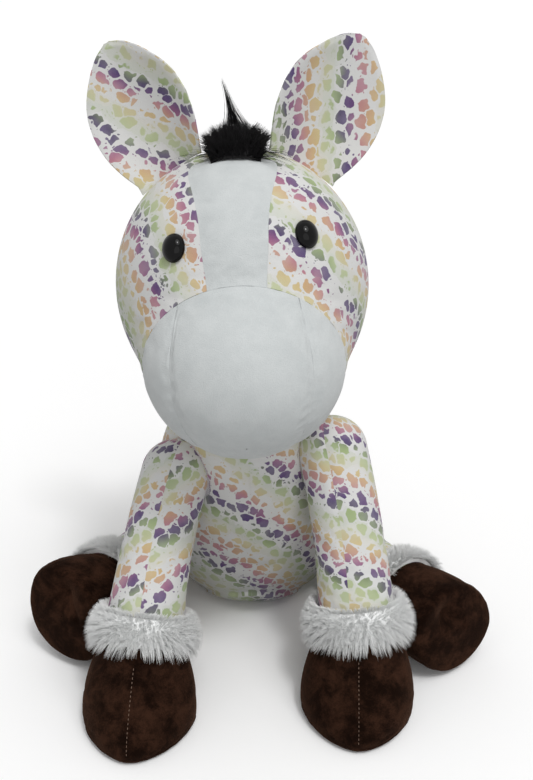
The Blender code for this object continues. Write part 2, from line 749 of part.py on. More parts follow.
def leg_rings(route, radius_change, reference):
    """Rings of a leg from the pole of its ball end to the ankle."""
    rings = []
    start = bezier_tangent(route, 0)
    first = (reference - start * reference.dot(start)).normalized()
    for index in range(1, BALL_ROWS + 1):
        angle = -math.pi / 2 * (1 - (index - BALL_POLE_SHARE) / BALL_ROWS)
        radius = BALL_RADIUS + radius_change
        middle = route[0] + start * radius * math.sin(angle)
        rings.append(ring(middle, first, start.cross(first), radius * math.cos(angle), LEG_COLUMNS))
    return rings + [leg_ring(route, row / LEG_ROWS, radius_change, reference) for row in range(LEG_ROWS + 1)]


def sweep_cutter(name, route, axis, swing, reference):
    """The room that a leg needs in the torso: a ball whose flats stay clear of it, and the leg's sweep."""
    radius = (BALL_RADIUS + SEAM_GAP) / math.cos(math.pi / BALL_ROOM_COLUMNS) ** 2
    mesh = bmesh.new()
    for row in range(1, BALL_ROOM_COLUMNS // 2):
        angle = math.pi * row / (BALL_ROOM_COLUMNS // 2)
        middle = route[0] + UP * radius * math.cos(angle)
        for point in ring(middle, RIGHTWARD, FORWARD, radius * math.sin(angle), BALL_ROOM_COLUMNS):
            mesh.verts.new(point)
    for pole in (UP, -UP):
        mesh.verts.new(route[0] + pole * radius)
    side_room = SEAM_GAP / math.cos(math.pi / LEG_COLUMNS)
    for step in range(SWEEP_STEPS + 1):
        turn = Matrix.Rotation(swing * step / SWEEP_STEPS, 3, axis)
        for row in range(LEG_ROWS + 1):
            for point in leg_ring(route, row / LEG_ROWS, side_room, reference):
                mesh.verts.new(route[0] + turn @ (point - route[0]))
    hull = bmesh.ops.convex_hull(mesh, input=mesh.verts)
    inside = set(hull["geom_interior"] + hull["geom_unused"])
    spare = [vertex for vertex in mesh.verts if vertex in inside]
    bmesh.ops.delete(mesh, geom=spare, context="VERTS")
    return cutter(name, mesh)


def cuff(name, route, origin, reference, radius):
    """A ring with a round outer side, on the last stretch of a sleeve and bent with it."""
    shares = [index / LEG_ROWS for index in range(LEG_ROWS - CUFF_LEG_ROWS, LEG_ROWS + 1)]
    rows = []
    for index in range(CUFF_ARC_ROWS + 1):
        angle = mix(-math.pi / 2, math.pi / 2, index / CUFF_ARC_ROWS)
        share = mix(shares[0], shares[-1], (1 + math.sin(angle)) / 2)
        pile = mix(HAIR_EDGE, radius - ANKLE_RADIUS, math.cos(angle))
        rows.append(leg_ring(route, share, CUFF_GAP + pile, reference))
    rows += [leg_ring(route, share, CUFF_GAP, reference) for share in reversed(shares)]
    return loop_solid(name, "white", rows, origin)


class Hoof:
    """A hoof's form: the outline of its sole, drawn in to the ankle ring."""

    def __init__(self, route, drop, toe, inward, half_width, toe_reach, heel_reach):
        self.ankle = route[2]
        self.tangent = bezier_tangent(route, 1)
        self.front = (toe - self.tangent * toe.dot(self.tangent)).normalized()
        self.side = self.tangent.cross(self.front)
        self.toe, self.inward, self.across = toe, inward, toe.cross(inward)
        self.across = self.across if self.across.dot(self.side) > 0 else -self.across
        self.base = self.ankle + drop + toe * (toe_reach - heel_reach) / 2
        self.half_width = half_width
        self.half_length = (toe_reach + heel_reach) / 2

    def edge(self, turn, share=1.0, height=0.0):
        power = 2 / HOOF_OUTLINE_POWER
        cosine, sine = math.cos(turn), math.sin(turn)
        along = math.copysign(abs(cosine) ** power, cosine) * self.half_length
        wide = math.copysign(abs(sine) ** power, sine) * self.half_width
        return self.base + (self.toe * along + self.across * wide) * share + self.inward * height

    def upper(self, turn, share):
        start = self.edge(turn, 1.0, SOLE_RIM_RISE + SEAM_GAP)
        rise = mix(HEEL_RISE, TOE_RISE, (1 + math.cos(turn)) / 2)
        middle = self.edge(turn, 1.0, rise)
        middle += middle - self.edge(turn, 1.0 - HOOF_BULGE_SHARE, rise)
        away = self.front * math.cos(turn) + self.side * math.sin(turn)
        end = self.ankle + self.tangent * SEAM_GAP + away * ANKLE_RADIUS
        return bezier((start, middle, end), share)

    def rows(self, turns, inset):
        """Rows from the sole to the ankle, drawn in towards the middle of the hoof."""
        made = []
        for row in range(HOOF_ROWS + 1):
            share = row / HOOF_ROWS
            heart = mix(self.base + self.inward * SOLE_RIM_RISE, self.ankle, share)
            points = [self.upper(turn, share) for turn in turns]
            made.append([point - (point - heart).normalized() * inset for point in points])
        return made


def hoof_parts(prefix, hoof, origin, sign):
    margin = SEAM_GAP / 2 / hoof.half_width
    outward = sign * int(math.copysign(1, hoof.across.dot(hoof.inward.cross(hoof.toe))))
    for label, facing in (("outer", outward), ("inner", -outward)):
        turns = [facing * mix(margin, math.pi - margin, i / HOOF_COLUMNS) for i in range(HOOF_COLUMNS + 1)]
        outer, inner = hoof.rows(turns, 0), hoof.rows(turns, FABRIC / HOOF_SLANT_SHARE)
        panel(prefix + "_hoof_" + label, "velour", outer, inner, origin)
    turns = [math.tau * index / (2 * HOOF_COLUMNS) for index in range(2 * HOOF_COLUMNS)]
    lower = [
        [hoof.edge(turn, SOLE_FLAT_SHARE, 0.0) for turn in turns],
        [hoof.edge(turn, 1.0, SOLE_RIM_RISE) for turn in turns],
    ]
    upper = [
        [hoof.edge(turn, 1.0 - FABRIC / hoof.half_width, SOLE_RIM_RISE) for turn in turns],
        [hoof.edge(turn, SOLE_FLAT_SHARE - FABRIC / hoof.half_width, FABRIC) for turn in turns],
    ]
    solid(prefix + "_hoof_sole", "velour", lower + upper, origin)
    lowest = SOLE_FLAT_SHARE - 2 * FABRIC / hoof.half_width
    rings = [[hoof.edge(turn, lowest, FABRIC + SEAM_GAP) for turn in turns]]
    rings += hoof.rows(turns, HOOF_INSET)
    solid(prefix + "_hoof_stuffing", "filling", rings, origin)


def leg(prefix, route, reference, cuff_radius, hoof, sign):
    origin = route[0]
    start = bezier_tangent(route, 0)
    layers = []
    for change in (0, -FABRIC):
        pole = [origin - start * (BALL_RADIUS + change)] * LEG_COLUMNS
        layers.append([pole] + leg_rings(route, change, reference))
    panel(prefix + "_sleeve", "print", *layers, origin, wrap=True)
    solid(prefix + "_stuffing", "filling", leg_rings(route, -(FABRIC + STUFFING_GAP), reference), origin)
    cuff(prefix + "_cuff", route, origin, reference, cuff_radius)
    hoof_parts(prefix, hoof, origin, sign)


def front_leg(side, sign, shoulder, ankle, toe_in):
    bow = mix(shoulder, ankle, 0.5) + Vector((sign * FRONT_BOW, -FRONT_BOW, 0))
    route = shoulder, bow, ankle
    toe = Matrix.Rotation(-sign * toe_in, 3, "Z") @ FORWARD
    drop = -UP * FRONT_ANKLE_Z
    hoof = Hoof(route, drop, toe, UP, HOOF_HALF_WIDTH, FRONT_TOE_REACH, FRONT_HEEL_REACH)
    leg("front_leg_" + side, route, RIGHTWARD, FRONT_CUFF_RADIUS, hoof, sign)
    return sweep_cutter("front_room_" + side, route, "X", -FRONT_SWING, RIGHTWARD)


def hind_leg(side, sign, hip, ankle, turn, roll):
    ahead = Matrix.Rotation(sign * turn, 3, "Z") @ FORWARD
    route = hip, ankle - ahead * HIND_CURVE, ankle
    lean = Matrix.Rotation(HIND_FOOT_LEAN, 3, ahead.cross(UP))
    toe = lean @ Matrix.Rotation(-sign * roll, 3, ahead) @ UP
    drop = ahead * HIND_FOOT_DEPTH
    hoof = Hoof(route, drop, toe, lean @ -ahead, HIND_HOOF_HALF_WIDTH, HIND_TOE_REACH, HIND_HEEL_REACH)
    leg("hind_leg_" + side, route, UP, HIND_CUFF_RADIUS, hoof, sign)
    return sweep_cutter("hind_room_" + side, route, "Z", sign * HIND_SPLAY, UP)


covers = body_panels()
core = body_core()
seat_panel()
faces = head_panels()
head_filling = head_core()
room = neck_cutter()
for target in (*faces.values(), head_filling):
    cut(target, room)
for side, sign in SIDES.items():
    eye_parts(side, sign, faces[side], head_filling)
    ear(side, sign)
FORELOCK_SPREAD = FORELOCK_START, FORELOCK_END, FORELOCK_MIDDLE, FORELOCK_SIDE
hair_pad("forelock", *FORELOCK_SPREAD, FORELOCK_HEIGHT, FORELOCK_ROWS)
hair_pad("mane", MANE_START, MANE_END, MANE_MIDDLE, MANE_SIDE, MANE_HEIGHT, MANE_ROWS)
tail()
LEG_PLACES = {
    "left": (
        (
            Vector((LEFT_SHOULDER_X, SHOULDER_Y, LEFT_SHOULDER_Z)),
            Vector((LEFT_ANKLE_X, LEFT_ANKLE_Y, FRONT_ANKLE_Z)),
            LEFT_TOE_IN,
        ),
        (
            Vector((HIP_X, HIP_Y, HIP_Z)),
            Vector((LEFT_HIND_ANKLE_X, LEFT_HIND_ANKLE_Y, HIND_ANKLE_Z)),
            LEFT_HIND_TURN,
            LEFT_HIND_ROLL,
        ),
    ),
    "right": (
        (
            Vector((-RIGHT_SHOULDER_X, SHOULDER_Y, RIGHT_SHOULDER_Z)),
            Vector((-RIGHT_ANKLE_X, RIGHT_ANKLE_Y, FRONT_ANKLE_Z)),
            RIGHT_TOE_IN,
        ),
        (
            Vector((-HIP_X, HIP_Y, HIP_Z)),
            Vector((-RIGHT_HIND_ANKLE_X, RIGHT_HIND_ANKLE_Y, HIND_ANKLE_Z)),
            RIGHT_HIND_TURN,
            RIGHT_HIND_ROLL,
        ),
    ),
}
for side, (front, hind) in LEG_PLACES.items():
    sign = SIDES[side]
    for tool in (front_leg(side, sign, *front), hind_leg(side, sign, *hind)):
        cut(covers[side], tool)
        cut(core, tool)
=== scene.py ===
"""The looks of a seated plush horse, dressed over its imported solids.

Lengths are in metres, +Z is up and the horse faces -Y. Left and right are the horse's own, so left is +X.
"""

import math

import bmesh
import bpy
import numpy as np
from mathutils import Matrix, Vector, noise


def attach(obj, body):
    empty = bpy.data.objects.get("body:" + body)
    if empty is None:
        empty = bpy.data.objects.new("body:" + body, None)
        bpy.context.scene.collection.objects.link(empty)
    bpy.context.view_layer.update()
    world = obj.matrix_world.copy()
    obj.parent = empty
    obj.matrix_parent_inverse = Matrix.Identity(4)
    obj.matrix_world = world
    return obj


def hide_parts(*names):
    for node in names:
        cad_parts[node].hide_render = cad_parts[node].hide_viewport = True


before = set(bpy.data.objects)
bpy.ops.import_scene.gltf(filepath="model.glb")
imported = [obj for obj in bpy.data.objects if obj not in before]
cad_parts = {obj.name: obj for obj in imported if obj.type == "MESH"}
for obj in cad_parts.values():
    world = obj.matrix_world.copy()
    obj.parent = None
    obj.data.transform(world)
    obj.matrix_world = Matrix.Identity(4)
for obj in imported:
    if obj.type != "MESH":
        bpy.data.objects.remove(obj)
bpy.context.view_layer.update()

# Cloth and seams
FABRIC = 0.002
SEAM_GAP = 0.0001
PIECE_GAP = 0.0003
WELD = 0.00001
SEAM_DEPTH = 0.0012
SEAM_WIDTH = 0.0040
SOFT_SEAM_DEPTH = 0.0009
SOFT_SEAM_WIDTH = 0.0030
PUCKER_HEIGHT = 0.0005
PUCKER_SPACING = 0.006

# Cloth simulation
SETTLE_FRAMES = 20
SETTLE_PRESSURE = 6.0
SETTLE_SLACK = 0.01
SETTLE_INSET = 0.0007
SETTLE_REACH = 0.0018
HOLD_WIDTH = 0.004
HOLD_CELL = 0.0003

# Torso
SEAT_Y = 0.018
NECK_RADIUS = 0.052
NECK_Y = -0.075
NECK_Z = 0.240
BELLY_HALF_WIDTH = 0.092
BELLY_HALF_DEPTH = 0.096
TORSO_LEAN_POWER = 1.3
TORSO_HEIGHT_SHARES = (0.0, 0.022, 0.075, 0.18, 0.34, 0.5, 0.66, 0.8, 0.91, 1.0)
TORSO_SWELL_SHARES = (0.08, 0.3, 0.6, 0.9, 1.0, 0.95, 0.78, 0.54, 0.17, 0.0)
NECK_TOP_ANGLE = math.radians(87)
TORSO_ROWS = 56
NECK_ROWS = 14
TORSO_COLUMNS = 60
JOINT_DENT = 0.0026
JOINT_DENT_WIDTH = 0.008
LINING = 0.0008
LINING_GAP = 0.00015

# Head
HEAD_CENTRE = np.array((-0.005, -0.093, 0.334))
HEAD_ROLL = math.radians(3.5)
CRANIUM_HALF_WIDTH = 0.097
CRANIUM_HALF_DEPTH = 0.094
CRANIUM_HALF_HEIGHT = 0.104
MUZZLE_FORWARD = 0.060
MUZZLE_DROP = 0.038
MUZZLE_HALF_WIDTH = 0.074
MUZZLE_HALF_DEPTH = 0.078
MUZZLE_HALF_HEIGHT = 0.070
CHEEK_SOFTNESS = 12
MUZZLE_PITCH = math.radians(32)
MUZZLE_SEAM_ANGLE = math.radians(43.5)
MUZZLE_SEAM_CHANGE = math.radians(7.5)
HEAD_BACK_ANGLE = math.radians(178)
BLAZE_ANGLE = math.radians(16)
BLAZE_ANGLE_SHARES = (1.0, 0.97, 0.94, 0.92, 0.96, 1.06, 1.18, 1.12)
BLAZE_ROW_SHARE = 1 / 14
DART_SHARES = (1 / 9, 8 / 9)
DART_BOW = 0.1
HEAD_ROWS = 90
HEAD_COLUMNS = 72
BLAZE_ROWS = 60
BLAZE_COLUMNS = 24
MUZZLE_ROWS = 48
MUZZLE_COLUMNS = 180
CHEEK_ROWS = 20
CHEEK_COLUMNS = 50

# Eyes
EYE_ANGLES = {"left": (math.radians(38.3), math.radians(34.9)), "right": (math.radians(31.4), math.radians(33.4))}
EYE_HALF_WIDTH = 0.0088
EYE_HALF_HEIGHT = 0.0104
EYE_DOME = 0.0068
EYE_RIM = 0.0012
EYE_LEAN = math.radians(12)
EYE_DENT = 0.0016
EYE_DENT_WIDTH = 0.011
EYE_COLUMNS = 64
EYE_ROWS = 18

# Ears
EAR_LENGTH = 0.101
EAR_HALF_WIDTH = 0.041
EAR_CUP = 0.017
EAR_LAYER = 0.0018
EAR_SIDE_ANGLES = {"left": math.radians(27.5), "right": math.radians(26)}
EAR_SPREADS = {"left": math.radians(31), "right": math.radians(25)}
EAR_ROUND_ANGLE = math.radians(106)
EAR_BACK_LEAN = math.radians(6)
EAR_TURN = math.radians(12)
EAR_LENGTH_SHARES = (0.0, 0.15, 0.32, 0.5, 0.66, 0.8, 0.9, 0.97, 1.0)
EAR_WIDTH_SHARES = (0.7, 0.86, 0.98, 1.0, 0.9, 0.68, 0.46, 0.23, 0.06)
EAR_CUP_SHARES = (0.9, 1.0, 0.95, 0.8, 0.62, 0.42, 0.22, 0.08, 0.0)
EAR_FLOP_SLOPE_SHARE = 0.08
EAR_FOOT_GAP = 0.0003
EAR_FOOT_SEARCH_SHARE = 0.5
EAR_FOOT_STEPS = 24
EAR_ROWS = 48
EAR_COLUMNS = 36
EAR_RIM_DEPTH = 0.0012
EAR_RIM_WIDTH = 0.0022

# Hair
FORELOCK_SPAN = math.radians(78), math.radians(98)
FORELOCK_SIDE = math.radians(10)
FORELOCK_MIDDLE = math.radians(1.5)
FORELOCK_HEIGHT = 0.024
MANE_SPAN = math.radians(100), math.radians(202)
MANE_SIDE = math.radians(9)
MANE_HEIGHT = 0.022
PAD_SHARE = 0.5
PAD_ROWS = 30
PAD_COLUMNS = 20
HAIR_EDGE = 0.003
TAIL_ROOT_RADIUS = 0.011
TAIL_ROOT = np.array((0, 0.093497, 0.104535))
TAIL_LENGTH = 0.092
TAIL_RADIUS = 0.017
TAIL_PITCH = math.radians(55)

# Legs
BALL_RADIUS = 0.0285
LEG_MIDDLE_RADIUS = 0.0295
ANKLE_RADIUS = 0.033
SHOULDER_Y = -0.105
FRONT_ANKLE_Z = 0.060
FRONT_BOW = 0.006
HIP_X = 0.070
HIP_Y = 0.022
HIP_Z = 0.044
HIND_ANKLE_Z = 0.0445
HIND_CURVE = 0.056
SEATED_LENGTH = 0.045
SEATED_SHARE = 1.6
BALL_ROWS = 18
BALL_POLE_ANGLE = math.radians(88)
LEG_ROWS = 70
LEG_COLUMNS = 72

# Cuffs
FRONT_CUFF_RADIUS = 0.044
HIND_CUFF_RADIUS = 0.040
CUFF_GAP = 0.0008
CUFF_SHARE = 1 / 6
CUFF_ROWS = 10
PILE_LENGTH = 0.0115
PILE_STRANDS = 13000
PILE_RADIUS = 0.00018
RIM_PILE = 0.2

# Hooves
HOOF_HALF_WIDTH = 0.046
FRONT_TOE_REACH = 0.078
FRONT_HEEL_REACH = 0.026
HIND_HOOF_HALF_WIDTH = 0.040
HIND_TOE_REACH = 0.051
HIND_HEEL_REACH = 0.040
HIND_FOOT_DEPTH = 0.058
HIND_FOOT_LEAN = math.radians(10)
TOE_RISE = 0.024
HEEL_RISE = 0.044
SOLE_RIM_RISE = 0.005
SOLE_FLAT_SHARE = 0.88
HOOF_BULGE_SHARE = 0.08
HOOF_OUTLINE_POWER = 1.7
HOOF_ROWS = 36
HOOF_COLUMNS = 56
STITCH_PITCH = 0.0034
STITCH_LENGTH = 0.0019
STITCH_RADIUS = 0.00030

SIDES = {"left": 1, "right": -1}
UP = np.array((0.0, 0.0, 1.0))
RIGHTWARD = np.array((1.0, 0.0, 0.0))
FORWARD = np.array((0.0, -1.0, 0.0))
NECK = np.array((0.0, NECK_Y, NECK_Z))


# Shapes
def mix(first, second, share):
    return first + (second - first) * share


def unit(vectors):
    return vectors / np.linalg.norm(vectors, axis=-1, keepdims=True)


def turned(angle, axis):
    return np.array(Matrix.Rotation(angle, 3, axis))


def eased(at, places, values):
    """A smooth curve through the entries of a table."""
    at, places, values = np.asarray(at, float), np.asarray(places), np.asarray(values)
    slopes = np.gradient(values, places)
    index = np.clip(np.searchsorted(places, at, side="right") - 1, 0, len(places) - 2)
    step = places[index + 1] - places[index]
    share = np.clip((at - places[index]) / step, 0, 1)
    square, cube = share**2, share**3
    start = (2 * cube - 3 * square + 1) * values[index] + (cube - 2 * square + share) * step * slopes[index]
    end = (3 * square - 2 * cube) * values[index + 1] + (cube - square) * step * slopes[index + 1]
    return start + end


def bezier(points, share):
    start, middle, end = points
    return mix(mix(start, middle, share), mix(middle, end, share), share)


def bezier_tangent(points, share):
    start, middle, end = points
    return unit(mix(middle - start, end - middle, share))


def mesh_object(name, points, quads, triangles=()):
    """An object of a mesh given as arrays, with smooth faces."""
    quads = np.asarray(quads, np.int32).reshape(-1, 4)
    triangles = np.asarray(triangles, np.int32).reshape(-1, 3)
    data = bpy.data.meshes.new(name)
    data.vertices.add(len(points))
    data.vertices.foreach_set("co", np.asarray(points, np.float32).ravel())
    corners = np.concatenate([quads.ravel(), triangles.ravel()])
    data.loops.add(len(corners))
    data.loops.foreach_set("vertex_index", corners)
    sizes = np.concatenate([np.full(len(quads), 4), np.full(len(triangles), 3)]).astype(np.int32)
    starts = np.concatenate([[0], np.cumsum(sizes)[:-1]]).astype(np.int32)
    data.polygons.add(len(sizes))
    data.polygons.foreach_set("loop_start", starts)
    data.polygons.foreach_set("use_smooth", np.ones(len(sizes), bool))
    data.update(calc_edges=True)
    data.validate()
    made = bpy.data.objects.new(name, data)
    bpy.context.scene.collection.objects.link(made)
    return made


def grid_quads(rows, columns, wrap=False, start=0, flip=False):
    """The quads of a grid of points that are numbered row by row."""
    index = np.arange(rows * columns).reshape(rows, columns) + start
    right = np.roll(index, -1, axis=1)
    quads = np.stack([index[:-1], right[:-1], right[1:], index[1:]], axis=-1)
    quads = quads if wrap else quads[:, :-1]
    quads = quads.reshape(-1, 4)
    return quads[:, ::-1] if flip else quads


def normals_of(points, hearts, wrap=False):
    """The outward normals of a grid of points, away from the heart points."""
    if wrap:
        across = np.roll(points, -1, axis=1) - np.roll(points, 1, axis=1)
    else:
        across = np.gradient(points, axis=1)
    along = np.gradient(points, axis=0)
    normals = np.cross(across, along)
    away = points - hearts
    size = np.linalg.norm(normals, axis=-1, keepdims=True)
    normals = np.where(size > WELD**2, normals / np.maximum(size, WELD**2), unit(away))
    facing = np.sign((normals * away).sum(-1, keepdims=True))
    return normals * np.where(facing == 0, 1, facing)


def distance_to(points, places):
    """How far each point of a grid lies from the nearest of some places."""
    flat = points.reshape(-1, 3)
    nearest = np.full(len(flat), np.inf)
    for start in range(0, len(places), 200):
        gaps = flat[:, None] - places[None, start : start + 200]
        nearest = np.minimum(nearest, (gaps**2).sum(-1).min(1))
    return np.sqrt(nearest).reshape(points.shape[:-1])


def puckers(points, spacing, seed):
    """Smooth noise from -1 to 1 at each point."""
    shift = Vector((seed, seed * 2, seed * 3))
    flat = points.reshape(-1, 3) / spacing
    values = [noise.noise(Vector(point) + shift) for point in flat]
    return np.array(values).reshape(points.shape[:-1])


EDGES = {
    "first_row": np.s_[0, :],
    "last_row": np.s_[-1, :],
    "first_column": np.s_[:, 0],
    "last_column": np.s_[:, -1],
}


class Skin:
    """A sheet of cloth through a grid of points, drawn in along its seams."""

    def __init__(self, points, hearts, wrap=False):
        self.points, self.wrap = points, wrap
        self.flat = points.copy()
        self.hearts = hearts
        self.normals = normals_of(points, hearts, wrap)

    def lift(self, heights):
        self.points = self.points + self.normals * np.asarray(heights)[..., None]
        return self

    def pinch(self, edges, depth=SEAM_DEPTH, width=SEAM_WIDTH, seed=1.0):
        """Draws the cloth in along the named edges, with small puckers beside them."""
        border = np.concatenate([self.flat[EDGES[edge]] for edge in edges])
        away = distance_to(self.flat, border) / width
        ripple = puckers(self.flat, PUCKER_SPACING, seed) * PUCKER_HEIGHT
        return self.lift(ripple * np.exp(-((away / 2) ** 2)) - depth * np.exp(-(away**2)))

    def dent(self, place, depth, width):
        away = np.linalg.norm(self.flat - np.asarray(place), axis=-1) / width
        return self.lift(-depth * np.exp(-(away**2)))

    def settle(self, edges, firm=0.0):
        """Lets a cloth simulation press the sheet out against its stuffing, held along its seams.

        Firm is how much of each point is held all the same, from 0 to 1. Points too close together
        for the simulation, round the middle of a round sheet, move as their neighbours do.
        """
        border = np.concatenate([self.flat[EDGES[edge]].reshape(-1, 3) for edge in edges])
        held = np.maximum(np.exp(-((distance_to(self.flat, border) / HOLD_WIDTH) ** 2)), firm)
        narrow = np.linalg.norm(np.gradient(self.flat, axis=1), axis=-1) < HOLD_CELL
        start = self.points - self.normals * (SETTLE_INSET * (1 - held))[..., None]
        moves = cloth_run(start, np.where(narrow, 1.0, held), self.normals, self.wrap) - start
        size = np.linalg.norm(moves, axis=-1, keepdims=True)
        moves *= SETTLE_REACH * np.tanh(size / SETTLE_REACH) / np.maximum(size, WELD)
        if self.wrap:
            middle = int(narrow.any(axis=1).sum()) + 1
            moves[:middle] = moves[middle].mean(axis=0)
        self.points = start + moves
        self.points[..., 2] = np.maximum(self.points[..., 2], 0)

    def sheet(self, name, thickness=FABRIC, place=None):
        """The closed mesh of the cloth, which keeps where each point lies in the print."""
        outer, inner = self.points, self.points - self.normals * thickness
        rows, columns = outer.shape[:2]
        count = rows * columns
        quads = [grid_quads(rows, columns, self.wrap), grid_quads(rows, columns, self.wrap, count, flip=True)]
        index = np.arange(count).reshape(rows, columns)
        rims = [index[0, ::-1], index[-1]]
        if self.wrap:
            rims = [np.append(rim, rim[0]) for rim in rims]
        else:
            rims += [index[:, 0], index[::-1, -1]]
        for rim in rims:
            quads.append(np.stack([rim[1:], rim[:-1], rim[:-1] + count, rim[1:] + count], axis=-1))
        points = np.concatenate([outer.reshape(-1, 3), inner.reshape(-1, 3)])
        made = mesh_object(name, points, np.concatenate(quads))
        place = self.flat if place is None else place
        set_place(made, np.concatenate([place.reshape(-1, 3)] * 2))
        return clean(made)


def cloth_run(points, held, normals, wrap):
    """Where a grid of cloth comes to rest under pressure from within. Held points stay."""
    rows, columns = points.shape[:2]
    quads = grid_quads(rows, columns, wrap)
    corners = points.reshape(-1, 3)[quads]
    faced = np.cross(corners[:, 2] - corners[:, 0], corners[:, 3] - corners[:, 1])
    outward = (faced * normals.reshape(-1, 3)[quads[:, 0]]).sum() > 0
    trial = mesh_object("cloth_trial", points.reshape(-1, 3), quads if outward else quads[:, ::-1])
    group = trial.vertex_groups.new(name="held")
    for index, weight in enumerate(held.ravel()):
        group.add([index], float(weight), "REPLACE")
    cloth = trial.modifiers.new("cloth", "CLOTH")
    rules = cloth.settings
    rules.vertex_group_mass = group.name
    rules.quality = 5
    rules.use_pressure = True
    rules.uniform_pressure_force = SETTLE_PRESSURE
    rules.shrink_min = -SETTLE_SLACK
    rules.tension_stiffness = 15
    rules.compression_stiffness = 15
    rules.shear_stiffness = 5
    rules.bending_stiffness = 0.5
    rules.effector_weights.gravity = 0
    cloth.collision_settings.use_collision = False
    cloth.point_cache.frame_start = 1
    cloth.point_cache.frame_end = SETTLE_FRAMES
    for step in range(1, SETTLE_FRAMES + 1):
        bpy.context.scene.frame_set(step)
    settled = trial.evaluated_get(bpy.context.evaluated_depsgraph_get()).to_mesh()
    found = np.empty(len(settled.vertices) * 3, np.float32)
    settled.vertices.foreach_get("co", found)
    data = trial.data
    bpy.data.objects.remove(trial)
    bpy.data.meshes.remove(data)
    bpy.context.scene.frame_set(1)
    return found.reshape(points.shape).astype(float)


def set_place(obj, places):
    stored = obj.data.attributes.new("place", "FLOAT_VECTOR", "POINT")
    stored.data.foreach_set("vector", np.asarray(places, np.float32).ravel())


def clean(obj):
    """Joins the points that meet, turns every face outward and keeps the rims sharp."""
    mesh = bmesh.new()
    mesh.from_mesh(obj.data)
    bmesh.ops.remove_doubles(mesh, verts=mesh.verts, dist=WELD)
    bmesh.ops.recalc_face_normals(mesh, faces=mesh.faces)
    mesh.to_mesh(obj.data)
    mesh.free()
    obj.data.set_sharp_from_angle(angle=math.radians(50))
    return obj


def dress(obj, finish, slot, body, *nodes, fill=None):
    """Gives a piece its material, the body it rides on and the solids that it stands for."""
    obj.data.materials.clear()
    obj.data.materials.append(finish)
    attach(obj, body)
    if nodes:
        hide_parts(*nodes)
    return obj


def cut(target, tool, operation="DIFFERENCE"):
    step = target.modifiers.new(tool.name, "BOOLEAN")
    step.operation = operation
    step.solver = "EXACT"
    step.object = tool


def apply_cuts(target):
    """Makes the cuts part of the mesh."""
    graph = bpy.context.evaluated_depsgraph_get()
    data = bpy.data.meshes.new_from_object(target.evaluated_get(graph))
    target.modifiers.clear()
    target.data = data
    data.set_sharp_from_angle(angle=math.radians(50))


def hull(name, points):
    mesh = bmesh.new()
    for point in points:
        mesh.verts.new(point)
    made = bmesh.ops.convex_hull(mesh, input=mesh.verts)
    inside = set(made["geom_interior"] + made["geom_unused"])
    bmesh.ops.delete(mesh, geom=[vertex for vertex in mesh.verts if vertex in inside], context="VERTS")
    bmesh.ops.recalc_face_normals(mesh, faces=mesh.faces)
    data = bpy.data.meshes.new(name)
    mesh.to_mesh(data)
    mesh.free()
    tool = bpy.data.objects.new(name, data)
    bpy.context.scene.collection.objects.link(tool)
    return tool


def ball_points(centre, radius, columns):
    rows = columns // 2
    polar = np.linspace(0, math.pi, rows + 1)[:, None]
    turns = np.linspace(0, math.tau, columns, endpoint=False)[None]
    flat = np.sin(polar) * radius
    around = np.stack([np.cos(turns) * flat, np.sin(turns) * flat, np.cos(polar) * radius + 0 * turns], -1)
    return centre + around.reshape(-1, 3)


# Finishes
def node(tree, kind, inputs=None, **settings):
    made = tree.nodes.new("ShaderNode" + kind)
    for key, value in settings.items():
        setattr(made, key, value)
    for key, value in (inputs or {}).items():
        if isinstance(value, bpy.types.NodeSocket):
            tree.links.new(value, made.inputs[key])
        else:
            made.inputs[key].default_value = value
    return made


def calc(tree, operation, *values):
    return node(tree, "Math", dict(enumerate(values)), operation=operation).outputs[0]


def vector_calc(tree, operation, *values):
    return node(tree, "VectorMath", dict(enumerate(values)), operation=operation).outputs[0]


def blend_colour(tree, share, first, second):
    made = node(tree, "Mix", data_type="RGBA")
    for index, value in ((0, share), (6, first), (7, second)):
        if isinstance(value, bpy.types.NodeSocket):
            tree.links.new(value, made.inputs[index])
        else:
            made.inputs[index].default_value = value
    return made.outputs[2]


def remap(tree, value, low, high, start=0.0, end=1.0):
    made = node(tree, "MapRange", {"Value": value, "To Min": start, "To Max": end}, interpolation_type="SMOOTHSTEP")
    made.inputs["From Min"].default_value = low
    made.inputs["From Max"].default_value = high
    return made.outputs[0]


def finish(name, roughness, **inputs):
    """A new material with its shader, and the place of each point in the cloth."""
    made = bpy.data.materials.new(name)
    made.use_nodes = True
    tree = made.node_tree
    shader = tree.nodes["Principled BSDF"]
    shader.inputs["Roughness"].default_value = roughness
    for key, value in inputs.items():
        shader.inputs[key.replace("_", " ")].default_value = value
    place = node(tree, "Attribute", attribute_name="place").outputs["Vector"]
    return made, tree, shader, place


def bump(tree, shader, height, distance, strength=1.0):
    made = node(tree, "Bump", {"Height": height, "Strength": strength, "Distance": distance})
    tree.links.new(made.outputs[0], shader.inputs["Normal"])


def mottle(tree, place, scale, detail=3.0, roughness=0.55):
    return node(tree, "TexNoise", {"Vector": place, "Scale": scale, "Detail": detail, "Roughness": roughness})


